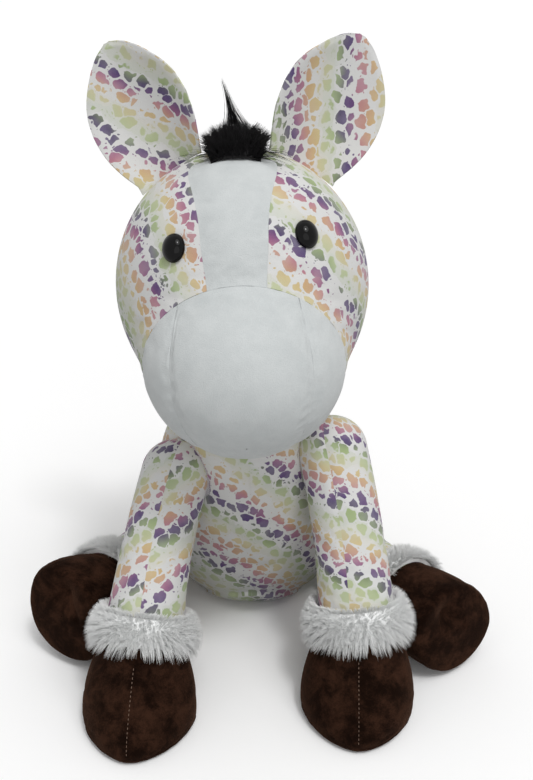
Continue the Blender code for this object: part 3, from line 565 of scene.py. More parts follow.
PRINT_PERIOD = 0.046
SPOT_SIZE = 0.0112
SPOT_STRETCH = 1.35
SPOT_EVENNESS = 0.85
PRINT_GROUND = (0.70, 0.70, 0.69, 1)
PALE_BAND_MIDDLE = 0.34
PRINT_COLOURS = (
    (0.00, (0.075, 0.038, 0.155)),
    (0.06, (0.085, 0.065, 0.130)),
    (0.12, (0.20, 0.25, 0.14)),
    (0.20, (0.34, 0.43, 0.20)),
    (0.31, (0.48, 0.54, 0.31)),
    (0.43, (0.58, 0.56, 0.34)),
    (0.53, (0.62, 0.50, 0.25)),
    (0.62, (0.60, 0.41, 0.20)),
    (0.71, (0.55, 0.31, 0.21)),
    (0.79, (0.46, 0.19, 0.25)),
    (0.86, (0.30, 0.105, 0.22)),
    (0.93, (0.12, 0.046, 0.17)),
)


def print_bands(tree, place, cell):
    """Where the middle of each spot lies in the colour bands, from 0 to 1, and the colour there."""
    centre = node(tree, "SeparateXYZ", {0: cell.outputs["Position"]}).outputs[2]
    here = node(tree, "SeparateXYZ", {0: place}).outputs[2]
    sway = calc(tree, "MULTIPLY", calc(tree, "SUBTRACT", mottle(tree, place, 22, 1.0).outputs[0], 0.5), 0.45)
    middle = calc(tree, "MULTIPLY", centre, 0.62 / SPOT_STRETCH / PRINT_PERIOD)
    local = calc(tree, "MULTIPLY", here, 0.38 / PRINT_PERIOD)
    band = calc(tree, "FRACT", calc(tree, "ADD", calc(tree, "ADD", middle, local), sway))
    ramp = node(tree, "ValToRGB", {"Fac": band})
    ramp.color_ramp.interpolation = "LINEAR"
    first = (*PRINT_COLOURS[0][1], 1)
    ramp.color_ramp.elements[0].color = first
    ramp.color_ramp.elements[1].position = 1.0
    ramp.color_ramp.elements[1].color = first
    for position, colour in PRINT_COLOURS[1:]:
        ramp.color_ramp.elements.new(position).color = (*colour, 1)
    return band, ramp.outputs[0]


def print_marks(tree, cells, cell, pale):
    """1 on the spots and 0 between them. Spots of the pale bands have softer edges."""
    edge = node(tree, "TexVoronoi", {"Vector": cells, "Scale": 1 / SPOT_SIZE, "Randomness": SPOT_EVENNESS},
                feature="DISTANCE_TO_EDGE").outputs[0]
    rounded = calc(tree, "SUBTRACT", edge, calc(tree, "MULTIPLY", cell.outputs["Distance"], 0.60))
    chance = node(tree, "SeparateXYZ", {0: cell.outputs["Color"]}).outputs[0]
    low = remap(tree, chance, 0.0, 1.0, -0.250, -0.13)
    softness = calc(tree, "ADD", 0.060, calc(tree, "MULTIPLY", pale, 0.09))
    spot = calc(tree, "DIVIDE", calc(tree, "SUBTRACT", rounded, low), softness)
    spot = remap(tree, spot, 0.0, 1.0)
    specks = node(tree, "TexVoronoi", {"Vector": cells, "Scale": 2.6 / SPOT_SIZE})
    speck = remap(tree, specks.outputs["Distance"], 0.26, 0.16)
    gap = remap(tree, edge, 0.075, 0.045)
    return calc(tree, "MAXIMUM", spot, calc(tree, "MULTIPLY", speck, gap))


def print_finish():
    """White short-pile cloth with irregular animal spots, coloured in bands."""
    made, tree, shader, place = finish("printed_plush", 0.95, Sheen_Weight=0.1, Sheen_Roughness=0.6)
    coarse = node(tree, "TexNoise", {"Vector": place, "Scale": 150, "Detail": 1.0}).outputs["Color"]
    fine = node(tree, "TexNoise", {"Vector": place, "Scale": 360, "Detail": 1.0}).outputs["Color"]
    warp = vector_calc(tree, "SUBTRACT", coarse, (0.5, 0.5, 0.5))
    ragged = vector_calc(tree, "SUBTRACT", fine, (0.5, 0.5, 0.5))
    shift = vector_calc(tree, "ADD", vector_calc(tree, "MULTIPLY", warp, (0.0062,) * 3),
                        vector_calc(tree, "MULTIPLY", ragged, (0.0014,) * 3))
    cells = vector_calc(tree, "MULTIPLY", vector_calc(tree, "ADD", place, shift), (1, 1, SPOT_STRETCH))
    cell = node(tree, "TexVoronoi", {"Vector": cells, "Scale": 1 / SPOT_SIZE, "Randomness": SPOT_EVENNESS})
    band, ink = print_bands(tree, place, cell)
    away = calc(tree, "ABSOLUTE", calc(tree, "SUBTRACT", band, PALE_BAND_MIDDLE))
    pale = remap(tree, away, 0.20, 0.08)
    mark = print_marks(tree, cells, cell, pale)
    fade = remap(tree, mottle(tree, place, 60, 2.0).outputs[0], 0.25, 0.75, 0.82, 1.0)
    ground = blend_colour(tree, calc(tree, "MULTIPLY", pale, 0.25), PRINT_GROUND, ink)
    colour = blend_colour(tree, calc(tree, "MULTIPLY", mark, fade), ground, ink)
    pile = mottle(tree, place, 1500, 2.0).outputs[0]
    colour = blend_colour(tree, remap(tree, pile, 0.3, 0.7, 0.0, 0.07), colour, (0.45, 0.45, 0.46, 1))
    tree.links.new(colour, shader.inputs["Base Color"])
    bump(tree, shader, pile, 0.0004, 0.5)
    return made


def plush_finish():
    """Smooth white plush with a faint cool tint and a brushed nap."""
    made, tree, shader, place = finish("white_plush", 0.95, Sheen_Weight=0.3, Sheen_Roughness=0.6)
    nap = mottle(tree, place, 55, 5.0, 0.65).outputs[0]
    pile = mottle(tree, place, 1300, 3.0).outputs[0]
    shade = calc(tree, "ADD", calc(tree, "MULTIPLY", nap, 0.7), calc(tree, "MULTIPLY", pile, 0.3))
    colour = blend_colour(tree, remap(tree, shade, 0.3, 0.7), (0.560, 0.590, 0.592, 1), (0.640, 0.668, 0.668, 1))
    tree.links.new(colour, shader.inputs["Base Color"])
    bump(tree, shader, pile, 0.0005, 0.7)
    return made


VELOUR_DARK = (0.0065, 0.0026, 0.0014, 1)
VELOUR_LIGHT = (0.038, 0.0165, 0.0095, 1)


def velour_finish():
    """Dark brown velour whose nap lies lighter and darker in patches."""
    made, tree, shader, place = finish("brown_velour", 1.0, Sheen_Weight=0.22, Sheen_Roughness=0.4, Specular_IOR_Level=0.05)
    shader.inputs["Sheen Tint"].default_value = (0.42, 0.22, 0.14, 1)
    patch = mottle(tree, place, 48, 6.0, 0.7)
    patch.inputs["Distortion"].default_value = 0.25
    pile = mottle(tree, place, 1100, 3.0).outputs[0]
    nap = calc(tree, "ADD", calc(tree, "MULTIPLY", patch.outputs[0], 0.8), calc(tree, "MULTIPLY", pile, 0.2))
    colour = blend_colour(tree, remap(tree, nap, 0.40, 0.64), VELOUR_DARK, VELOUR_LIGHT)
    tree.links.new(colour, shader.inputs["Base Color"])
    bump(tree, shader, pile, 0.0006, 0.7)
    return made


def fur_finish(name, dark, light, roughness, specular):
    """Long pile: each strand has its own shade."""
    made, tree, shader, place = finish(name, roughness)
    shader.inputs["Specular IOR Level"].default_value = specular
    shade = mottle(tree, place, 700, 1.0).outputs[0]
    colour = blend_colour(tree, remap(tree, shade, 0.3, 0.7), (*dark, 1), (*light, 1))
    tree.links.new(colour, shader.inputs["Base Color"])
    return made


def gloss_finish():
    """Glossy black plastic with very faint moulding marks."""
    made, tree, shader, place = finish("black_plastic", 0.03, Specular_IOR_Level=0.16)
    faint = mottle(tree, place, 240, 2.0).outputs[0]
    colour = blend_colour(tree, faint, (0.0008, 0.0008, 0.0010, 1), (0.0016, 0.0016, 0.0018, 1))
    tree.links.new(colour, shader.inputs["Base Color"])
    bump(tree, shader, faint, 0.00001, 0.1)
    return made


def washer_finish():
    """Milky moulded plastic, for pieces whose points carry no place in a cloth."""
    made, tree, shader, _ = finish("milky_plastic", 0.45, Subsurface_Weight=0.1)
    where = node(tree, "TexCoord").outputs["Object"]
    grain = mottle(tree, where, 500, 3.0).outputs[0]
    colour = blend_colour(tree, grain, (0.58, 0.59, 0.58, 1), (0.68, 0.69, 0.68, 1))
    tree.links.new(colour, shader.inputs["Base Color"])
    bump(tree, shader, grain, 0.0001, 0.3)
    return made


def thread_finish():
    made, tree, shader, place = finish("pale_thread", 0.7, Sheen_Weight=0.2)
    ply = node(tree, "TexWave", {"Vector": place, "Scale": 900, "Distortion": 1.5}).outputs["Color"]
    colour = blend_colour(tree, ply, (0.12, 0.065, 0.040, 1), (0.22, 0.14, 0.095, 1))
    tree.links.new(colour, shader.inputs["Base Color"])
    return made


PRINT = print_finish()
PLUSH = plush_finish()
VELOUR = velour_finish()
WHITE_FUR = fur_finish("white_fur", (0.90, 0.91, 0.905), (0.96, 0.965, 0.96), 1.0, 0.03)
DARK_HAIR = fur_finish("dark_hair", (0.0025, 0.0022, 0.0025), (0.008, 0.0075, 0.008), 0.5, 0.08)
GLOSS = gloss_finish()
WASHER = washer_finish()
THREAD = thread_finish()


def in_print(points, direction, phase, slip=0.0):
    """Where points lie in the print, whose colour bands follow each other along a direction."""
    up = unit(np.asarray(direction, float))
    side = unit(np.cross(up, RIGHTWARD if abs(up[0]) < 0.8 else FORWARD))
    turn = np.stack([side, np.cross(up, side), up])
    return points @ turn.T + np.array((slip, 0, phase * PRINT_PERIOD))


# Torso
def torso_ring(height_share):
    swell = eased(height_share, TORSO_HEIGHT_SHARES, TORSO_SWELL_SHARES)
    lean = np.clip(height_share, 0, 1) ** TORSO_LEAN_POWER
    centre = np.stack([0 * lean, mix(SEAT_Y, NECK_Y, lean), NECK_Z * height_share], -1)
    return mix(NECK_RADIUS, BELLY_HALF_WIDTH, swell), mix(NECK_RADIUS, BELLY_HALF_DEPTH, swell), centre


def torso_grid(turns):
    """Rows of points from the seat to the top of the neck, and the heart of each row."""
    shares = np.linspace(0, 1, TORSO_ROWS + 1) ** 1.15
    half_width, half_depth, centre = torso_ring(shares)
    angles = np.linspace(0, NECK_TOP_ANGLE, NECK_ROWS + 1)[1:]
    wide = np.concatenate([half_width, NECK_RADIUS * np.cos(angles)])[:, None]
    deep = np.concatenate([half_depth, NECK_RADIUS * np.cos(angles)])[:, None]
    hearts = np.concatenate([centre, NECK + UP * NECK_RADIUS * np.sin(angles)[:, None]])[:, None]
    flat = np.stack([np.sin(turns) * wide, -np.cos(turns) * deep, 0 * turns * wide], -1)
    return hearts + flat, np.minimum(hearts, NECK) + 0 * flat


def leg_gap(points, route):
    """How far points lie outside a leg."""
    nearest = np.full(points.shape[:-1], np.inf)
    for share in np.linspace(0, 1, 24):
        away = np.linalg.norm(points - bezier(route, share), axis=-1)
        nearest = np.minimum(nearest, away - leg_radius(share))
    return nearest


def body_covers(routes, rooms):
    covers = {}
    for side, sign in SIDES.items():
        turns = sign * np.linspace(0, math.pi, TORSO_COLUMNS + 1)[None]
        points, hearts = torso_grid(turns)
        points[..., 0] += sign * SEAM_GAP / 2
        skin = Skin(points, hearts)
        for route in routes[side]:
            gap = np.maximum(leg_gap(skin.flat, route), 0) / JOINT_DENT_WIDTH
            skin.lift(-JOINT_DENT * np.exp(-(gap**2)))
        skin.pinch(("first_column", "last_column"), SOFT_SEAM_DEPTH, SOFT_SEAM_WIDTH, sign)
        skin.settle(("first_row", "last_row", "first_column", "last_column"))
        place = in_print(points, TORSO_BANDS, TORSO_PHASE)
        cover = skin.sheet("body_cover_" + side + "_cloth", place=place)
        for tool in rooms[side]:
            cut(cover, tool)
        apply_cuts(cover)
        covers[side] = dress(cover, PRINT, "printed_cloth", "torso", "body_cover_" + side, fill=0.75)
    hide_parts("body_stuffing")
    return covers


def torso_form(routes):
    """The torso as one closed form, whose surface lies halfway into the cloth of the covers."""
    points, hearts = torso_grid(np.linspace(0, math.tau, 2 * TORSO_COLUMNS, endpoint=False)[None])
    skin = Skin(points, hearts, wrap=True)
    for route in (*routes["left"], *routes["right"]):
        gap = np.maximum(leg_gap(skin.flat, route), 0) / JOINT_DENT_WIDTH
        skin.lift(-JOINT_DENT * np.exp(-(gap**2)))
    return rings_object("torso_form", skin.lift(-FABRIC / 2).points)


def dent_linings(routes):
    """The cloth at the bottom of the dents in which the legs sit. It shows when a leg swings away."""
    form = torso_form(routes)
    turns = np.linspace(0, math.tau, LEG_COLUMNS, endpoint=False)
    for side in SIDES:
        for limb, route, reference in zip(("front", "hind"), routes[side], (RIGHTWARD, UP)):
            near = leg_rings(route, turns, LINING_GAP, reference)[0]
            far = leg_rings(route, turns, LINING_GAP + LINING, reference)[0]
            name = "body_cover_" + side + "_" + limb + "_dent"
            lining = rings_object(name, np.concatenate([near, far[::-1]]))
            cut(lining, form, "INTERSECT")
            apply_cuts(lining)
            dress(lining, PRINT, "printed_cloth", "torso")
    bpy.data.objects.remove(form, do_unlink=True)


def seat_cloth():
    turns = np.linspace(0, math.tau, 2 * TORSO_COLUMNS, endpoint=False)[None]
    half_width, half_depth, centre = torso_ring(np.array(0.0))
    reach = FABRIC + SEAM_GAP
    shares = np.linspace(1, 0.02, 16)[:, None]
    flat = [np.sin(turns) * (half_width - reach) * shares, -np.cos(turns) * (half_depth - reach) * shares]
    points = centre + np.stack([*flat, 0 * shares * turns], -1)
    skin = Skin(points, centre + UP * NECK_RADIUS, wrap=True)
    skin.pinch(("first_row",), FABRIC / 3, SOFT_SEAM_WIDTH)
    skin.points[..., 2] = np.maximum(skin.points[..., 2], 0)
    made = skin.sheet("seat_panel_cloth", place=in_print(points, TORSO_BANDS, TORSO_PHASE))
    dress(made, PRINT, "printed_cloth", "torso", "seat_panel")


# Head
HEAD_TURN = turned(-HEAD_ROLL, "Y")
CRANIUM = np.zeros(3), np.array((CRANIUM_HALF_WIDTH, CRANIUM_HALF_DEPTH, CRANIUM_HALF_HEIGHT))
MUZZLE = (
    np.array((0, -MUZZLE_FORWARD, -MUZZLE_DROP)),
    np.array((MUZZLE_HALF_WIDTH, MUZZLE_HALF_DEPTH, MUZZLE_HALF_HEIGHT)),
)


def reach_of(direction, form):
    """How far an ellipsoid that holds the origin reaches along directions."""
    centre, halves = form
    scaled, offset = direction / halves, centre / halves
    squares, mixed = (scaled**2).sum(-1), (scaled * offset).sum(-1)
    return (mixed + np.sqrt(mixed**2 - squares * ((offset**2).sum() - 1))) / squares


def head_reach(direction):
    reaches = [reach_of(direction, form) for form in (CRANIUM, MUZZLE)]
    longest = np.maximum(*reaches)
    return longest * sum((reach / longest) ** CHEEK_SOFTNESS for reach in reaches) ** (1 / CHEEK_SOFTNESS)


def head_point(direction, lift=0.0):
    return HEAD_CENTRE + (direction * (head_reach(direction) + lift)[..., None]) @ HEAD_TURN.T


def above_head(points):
    away = (points - HEAD_CENTRE) @ HEAD_TURN
    return np.linalg.norm(away, axis=-1) - head_reach(unit(away))


def face_direction(angle, turn):
    """Directions by their angle from the muzzle's middle, and their turn round it from the forehead."""
    out = np.array((0, -math.cos(MUZZLE_PITCH), -math.sin(MUZZLE_PITCH)))
    over = np.array((0, -math.sin(MUZZLE_PITCH), math.cos(MUZZLE_PITCH)))
    angle, turn = np.asarray(angle)[..., None], np.asarray(turn)[..., None]
    return out * np.cos(angle) + (over * np.cos(turn) + RIGHTWARD * np.sin(turn)) * np.sin(angle)


def crown_direction(round_angle, side_angle):
    """Directions by their angle over the crown from straight ahead, and their angle to the side."""
    flat = np.cos(side_angle)
    parts = np.sin(side_angle) + 0 * round_angle, -np.cos(round_angle) * flat, np.sin(round_angle) * flat
    return np.stack(parts, -1)


def muzzle_seam(turn):
    return MUZZLE_SEAM_ANGLE + MUZZLE_SEAM_CHANGE * np.cos(turn)


def head_angle(share, turn):
    margin = SEAM_GAP / 2 / CRANIUM_HALF_WIDTH
    return mix(muzzle_seam(turn) + margin, HEAD_BACK_ANGLE, share)


def blaze_edge(share):
    places = [row * BLAZE_ROW_SHARE for row in range(len(BLAZE_ANGLE_SHARES) + 1)]
    return np.maximum(BLAZE_ANGLE * eased(share, places, (*BLAZE_ANGLE_SHARES, 0.0)), 0)


def row_margin(share):
    angle = mix(MUZZLE_SEAM_ANGLE, HEAD_BACK_ANGLE, share)
    return SEAM_GAP / 2 / (CRANIUM_HALF_WIDTH * np.sin(angle))


def eye_frame(side):
    """The place of an eye on the head, with its outward, upward and sideways directions."""
    sign = SIDES[side]
    azimuth, elevation = EYE_ANGLES[side]
    flat = math.cos(elevation)
    direction = np.array((sign * math.sin(azimuth) * flat, -math.cos(azimuth) * flat, math.sin(elevation)))
    level = unit(np.cross(direction, UP))
    step = EYE_HALF_WIDTH / CRANIUM_HALF_WIDTH

    def slope(way):
        return head_point(unit(direction + way * step)) - head_point(unit(direction - way * step))

    across, along = slope(level), slope(np.cross(level, direction))
    out = unit(np.cross(across, along))
    out = out if out @ (HEAD_TURN @ direction) > 0 else -out
    up = np.array(Matrix.Rotation(-sign * EYE_LEAN, 3, Vector(out))) @ unit(along - out * (along @ out))
    return head_point(direction), out, up, np.cross(up, out)


def head_sides(room):
    for side, sign in SIDES.items():
        shares = np.linspace(0, 1, HEAD_ROWS + 1)[:, None]
        steps = np.linspace(0, 1, HEAD_COLUMNS + 1)[None]
        turns = sign * mix(blaze_edge(shares) + row_margin(shares), math.pi - row_margin(shares), steps)
        points = head_point(face_direction(head_angle(shares, turns), turns))
        skin = Skin(points, HEAD_CENTRE)
        seat, out, _, _ = eye_frame(side)
        skin.dent(seat, EYE_DENT, EYE_DENT_WIDTH)
        skin.pinch(("first_row", "first_column", "last_column"), seed=2 + sign)
        skin.settle(("first_row", "last_row", "first_column", "last_column"))
        made = skin.sheet("head_side_" + side + "_cloth", place=in_print(points, *HEAD_BANDS[side]))
        cut(made, room)
        apply_cuts(made)
        dress(made, PRINT, "printed_cloth", "head", "head_side_" + side, fill=0.85)


def blaze():
    last = (len(BLAZE_ANGLE_SHARES) - 1) * BLAZE_ROW_SHARE
    shares = np.linspace(0, last, BLAZE_ROWS + 1)[:, None]
    edge = blaze_edge(shares) - row_margin(shares)
    turns = mix(-edge, edge, np.linspace(0, 1, BLAZE_COLUMNS + 1)[None])
    skin = Skin(head_point(face_direction(head_angle(shares, turns), turns)), HEAD_CENTRE)
    skin.pinch(("first_row", "last_row", "first_column", "last_column"), seed=5)
    skin.settle(("first_row", "last_row", "first_column", "last_column"))
    made = skin.sheet("forehead_blaze_cloth")
    dress(made, PLUSH, "white_plush", "head", "forehead_blaze", fill=0.85)


def dart_share(turn):
    """How far out towards the muzzle seam the dart seam lies: a line between two of its corners, bowed in."""
    first, last = [mix(BLAZE_ANGLE, math.pi, share) for share in DART_SHARES]
    turn = np.abs(turn)
    slope = (math.cos(last) - math.cos(first)) / (math.sin(last) - math.sin(first))
    line = (math.cos(first) - slope * math.sin(first)) / (np.cos(turn) - slope * np.sin(turn))
    bowed = line * (1 - DART_BOW * np.sin(math.pi * (turn - first) / (last - first)))
    return np.where((turn > first) & (turn < last), bowed, 1.0)


def muzzle(room):
    margin = SEAM_GAP / 2 / (MUZZLE_SEAM_ANGLE * MUZZLE_HALF_WIDTH)
    turns = np.linspace(-math.pi, math.pi, MUZZLE_COLUMNS, endpoint=False)[None]
    shares = np.linspace(0.01, 1, MUZZLE_ROWS + 1)[:, None]
    angles = muzzle_seam(turns) * (dart_share(turns) - margin) * shares
    skin = Skin(head_point(face_direction(angles, turns)), HEAD_CENTRE, wrap=True)
    skin.pinch(("last_row",), seed=7)
    skin.settle(("last_row",))
    made = skin.sheet("muzzle_middle_cloth")
    cut(made, room)
    apply_cuts(made)
    dress(made, PLUSH, "white_plush", "head", "muzzle_middle", "head_stuffing", fill=0.85)
    for side, sign in SIDES.items():
        first, last = [mix(BLAZE_ANGLE, math.pi, share) for share in DART_SHARES]
        turns = sign * np.linspace(first + 2 * margin, last - 2 * margin, CHEEK_COLUMNS + 1)[None]
        near = np.minimum(dart_share(turns) + margin, 1 - margin)
        angles = muzzle_seam(turns) * mix(near, 1 - margin, np.linspace(0, 1, CHEEK_ROWS + 1)[:, None])
        skin = Skin(head_point(face_direction(angles, turns)), HEAD_CENTRE)
        skin.pinch(("first_row", "last_row"), seed=9 + sign)
        skin.settle(("first_row", "last_row"))
        made = skin.sheet("muzzle_cheek_" + side + "_cloth")
        dress(made, PLUSH, "white_plush", "head", "muzzle_cheek_" + side, fill=0.85)


def rings_object(name, rings, place=None):
    """A closed form through rings of points."""
    rings = np.asarray(rings)
    rows, columns = rings.shape[:2]
    points = np.concatenate([rings.reshape(-1, 3), rings[0].mean(0)[None], rings[-1].mean(0)[None]])
    index = np.arange(rows * columns).reshape(rows, columns)
    low, high = index[0], index[-1]
    start = np.stack([np.roll(low, -1), low, np.full(columns, rows * columns)], -1)
    end = np.stack([high, np.roll(high, -1), np.full(columns, rows * columns + 1)], -1)
    made = mesh_object(name, points, grid_quads(rows, columns, wrap=True), np.concatenate([start, end]))
    set_place(made, points if place is None else place)
    return clean(made)


def eyes():
    for side in SIDES:
        seat, out, up, across = eye_frame(side)
        base = seat + out * (SEAM_GAP - EYE_DENT / 2)
        turns = np.linspace(0, math.tau, EYE_COLUMNS, endpoint=False)[:, None]
        rings = []
        lip = np.linspace(-math.pi / 2, 0, 6)
        for angle in lip:
            share = 1 - 0.05 * (1 - math.cos(angle))
            rings.append((EYE_RIM * (1 + math.sin(angle)) / 2, share))
        for angle in np.linspace(0, math.pi / 2, EYE_ROWS + 1)[1:-1]:
            rings.append((mix(EYE_RIM / 2, EYE_DOME + EYE_DENT / 2, math.sin(angle)), math.cos(angle)))
        wide, high = across * EYE_HALF_WIDTH, up * EYE_HALF_HEIGHT
        points = [base + out * depth + (wide * np.cos(turns) + high * np.sin(turns)) * share for depth, share in rings]
        made = rings_object("eye_" + side + "_dome", points)
        dress(made, GLOSS, "eye_plastic", "head", "eye_" + side)
        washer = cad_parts["eye_washer_" + side]
        washer.data.materials.clear()
        washer.data.materials.append(WASHER)


# Ears
def ear_frame(side):
    """The foot of an ear on the head, and its directions across, forward and along."""
    sign = SIDES[side]
    direction = crown_direction(np.array(EAR_ROUND_ANGLE), np.array(sign * EAR_SIDE_ANGLES[side]))
    foot = head_point(direction, EAR_LAYER)
    turn = turned(sign * EAR_SPREADS[side], "Y") @ turned(-EAR_BACK_LEAN, "X")
    turn = HEAD_TURN @ turn @ turned(sign * EAR_TURN, "Z")
    return foot, turn @ RIGHTWARD, turn @ FORWARD, turn @ UP


def ear_grid(side):
    foot, across, front, along = ear_frame(side)
    sides = np.linspace(-1, 1, EAR_COLUMNS + 1)

    def place(side_share, length_share):
        share = np.clip(length_share, 0, 1)
        width = EAR_HALF_WIDTH * np.maximum(eased(share, EAR_LENGTH_SHARES, EAR_WIDTH_SHARES), 0) * side_share
        cup = EAR_CUP * eased(share, EAR_LENGTH_SHARES, EAR_CUP_SHARES) * side_share**2
        parts = across * width[..., None], front * cup[..., None], along * EAR_LENGTH * length_share[..., None]
        return foot + sum(parts)

    room = EAR_FOOT_GAP + EAR_CUP * sides**2 * EAR_FLOP_SLOPE_SHARE
    low = np.full(len(sides), -EAR_FOOT_SEARCH_SHARE)
    high = -low
    for _ in range(EAR_FOOT_STEPS):
        middle = (low + high) / 2
        clear = above_head(place(sides, middle)) > room
        low, high = np.where(clear, low, middle), np.where(clear, middle, high)
    shares = np.sin(np.linspace(0, math.pi / 2, EAR_ROWS + 1))[:, None]
    return place(sides[None] + 0 * shares, mix(high[None], 1.0, shares)), front


def ears():
    for side, sign in SIDES.items():
        points, front = ear_grid(side)
        bands = EAR_BANDS[side]
        for label, way in (("ear_lining_", 1), ("ear_back_", -1)):
            skin = Skin(points, points - front * way)
            skin.lift(np.full(points.shape[:2], SEAM_GAP / 2 + EAR_LAYER))
            skin.pinch(("last_row", "first_column", "last_column"), EAR_RIM_DEPTH, EAR_RIM_WIDTH, seed=11 + sign + way)
            made = skin.sheet(label + side + "_cloth", EAR_LAYER - EAR_RIM_DEPTH, in_print(points, *bands, slip=way * 0.03))
            dress(made, PRINT, "printed_cloth", "ear_" + side, label + side)


# Hair and pile
def strands(name, roots, ways, lengths, bends, radius, segments=4):
    """Tapered three-sided strands: each leaves its root along its way and bends over towards its tip."""
    count = len(roots)
    steps = np.linspace(0, 1, segments + 1)[None, :, None]
    lengths = np.asarray(lengths)[:, None, None]
    path = roots[:, None] + lengths * (ways[:, None] * steps + bends[:, None] * steps**2)
    tangent = unit(ways[:, None] + 2 * bends[:, None] * steps)
    first = unit(np.cross(tangent, np.array((0.31, 0.52, 0.79))))
    second = np.cross(tangent, first)
    width = radius * (1 - 0.85 * steps**1.5)
    turns = np.arange(3) * math.tau / 3
    around = [first * math.cos(turn) + second * math.sin(turn) for turn in turns]
    rings = path[:, :, None] + np.stack(around, 2) * width[..., None]
    rings[..., 2] = np.maximum(rings[..., 2], 0)
    per = 3 * (segments + 1)
    start = (np.arange(count) * per)[:, None]
    quads = []
    for segment in range(segments):
        for corner in range(3):
            here, after = 3 * segment + corner, 3 * segment + (corner + 1) % 3
            quads.append(start + np.array([here, after, after + 3, here + 3]))
    last = per - 3
    triangles = np.concatenate([start + np.array([last, last + 1, last + 2]), start + np.array([2, 1, 0])])
    made = mesh_object(name, rings.reshape(-1, 3), np.concatenate(quads), triangles)
    set_place(made, np.repeat(roots + lengths[:, :, 0] * 0, per, axis=0))
    return made


def tufts(random, roots, tips, share, pull):
    """Draws the tips of strands together into tufts. Returns the moved tips."""
    leaders = random.choice(len(roots), max(int(len(roots) * share), 1), replace=False)
    nearest = np.empty(len(roots), int)
    for start in range(0, len(roots), 500):
        gaps = roots[start : start + 500, None] - roots[None, leaders]
        nearest[start : start + 500] = (gaps**2).sum(-1).argmin(1)
    return mix(tips, tips[leaders][nearest], pull)


def tuft_ways(random, roots, ways, lengths, share, pull):
    tips = tufts(random, roots, roots + ways * lengths[:, None], share, pull)
    return unit(tips - roots)


def pad_lift(height, along, across):
    """How high the cloth under the hair stands over the head: low at its rims."""
    swell = (1 - across**2) * np.sin(math.pi * np.clip(along, 0, 1)) ** 0.6
    return (HAIR_EDGE + (height - HAIR_EDGE) * swell) * PAD_SHARE


def hair_pad(name, node_name, span, middle, side_angle, height):
    along = np.linspace(0, 1, PAD_ROWS)[:, None]
    across = np.linspace(-1, 1, PAD_COLUMNS)[None]
    direction = crown_direction(mix(*span, along) + 0 * across, middle + side_angle * across + 0 * along)
    points = head_point(direction, pad_lift(height, along, across))
    made = Skin(points, HEAD_CENTRE).sheet(name, thickness=FABRIC)
    return dress(made, DARK_HAIR, "dark_hair", "head", node_name)


FORELOCK_STRANDS = 3400
WISP_STRANDS = 170
WISP_FOOT = np.array((-0.0065, -0.088, 0.447))
WISP_TIP = np.array((-0.0193, -0.080, 0.4884))
WISP_FOOT_SPREAD = np.array((0.0095, 0.0035, 0.0010))
WISP_TIP_SPREAD = 0.0007
WISP_ELBOW_HEIGHT = 0.42
WISP_ELBOW_SPREAD = 0.16
STRAY_STRANDS = 90
MANE_STRANDS = 6500
TAIL_STRANDS = 4200
HAIR_RADIUS = 0.00022


def forelock():
    hair_pad("forelock_pad", "forelock", FORELOCK_SPAN, FORELOCK_MIDDLE, FORELOCK_SIDE, FORELOCK_HEIGHT)
    random = np.random.default_rng(11)
    count = FORELOCK_STRANDS
    along, across = random.random(count), random.uniform(-1, 1, count)
    direction = crown_direction(mix(*FORELOCK_SPAN, along), FORELOCK_MIDDLE + FORELOCK_SIDE * across)
    roots = head_point(direction, pad_lift(FORELOCK_HEIGHT, along, across) * 0.95)
    out = unit(direction @ HEAD_TURN.T)
    ways = out * 0.8 + RIGHTWARD * (0.3 * across + random.normal(0, 0.2, count))[:, None]
    ways += FORWARD * (0.05 - 0.9 * along + random.normal(0, 0.2, count))[:, None]
    lengths = random.uniform(0.007, 0.014, count) * mix(0.75, 1.1, along)
    ways = tuft_ways(random, roots, unit(ways), lengths, 0.03, 0.6)
    bends = RIGHTWARD * (0.35 * across)[:, None] - FORWARD * 0.4 - UP * 0.1
    made = strands("forelock_hair", roots, ways, lengths, bends, HAIR_RADIUS)
    dress(made, DARK_HAIR, "dark_hair", "head", "forelock")
    forelock_wisp(random)
    stray_hair(random)


def forelock_wisp(random):
    """A tuft, wide at its foot, whose hairs sweep up together out of the forelock to a point."""
    spread = np.clip(random.normal(0, 0.8, (WISP_STRANDS, 3)), -1.5, 1.5)
    roots = WISP_FOOT + spread * WISP_FOOT_SPREAD
    reach = random.uniform(0.35, 1.0, (WISP_STRANDS, 1))
    ends = mix(WISP_FOOT, WISP_TIP, reach) + spread * WISP_TIP_SPREAD
    elbows = mix(WISP_FOOT, WISP_TIP, WISP_ELBOW_HEIGHT * reach) + spread * WISP_FOOT_SPREAD * WISP_ELBOW_SPREAD
    lengths = np.linalg.norm(ends - roots, axis=1)
    ways = 2 * (elbows - roots) / lengths[:, None]
    bows = (roots + ends - 2 * elbows) / lengths[:, None]
    made = strands("forelock_wisp", roots, ways, lengths, bows, HAIR_RADIUS * 0.8, 8)
    dress(made, DARK_HAIR, "dark_hair", "head")


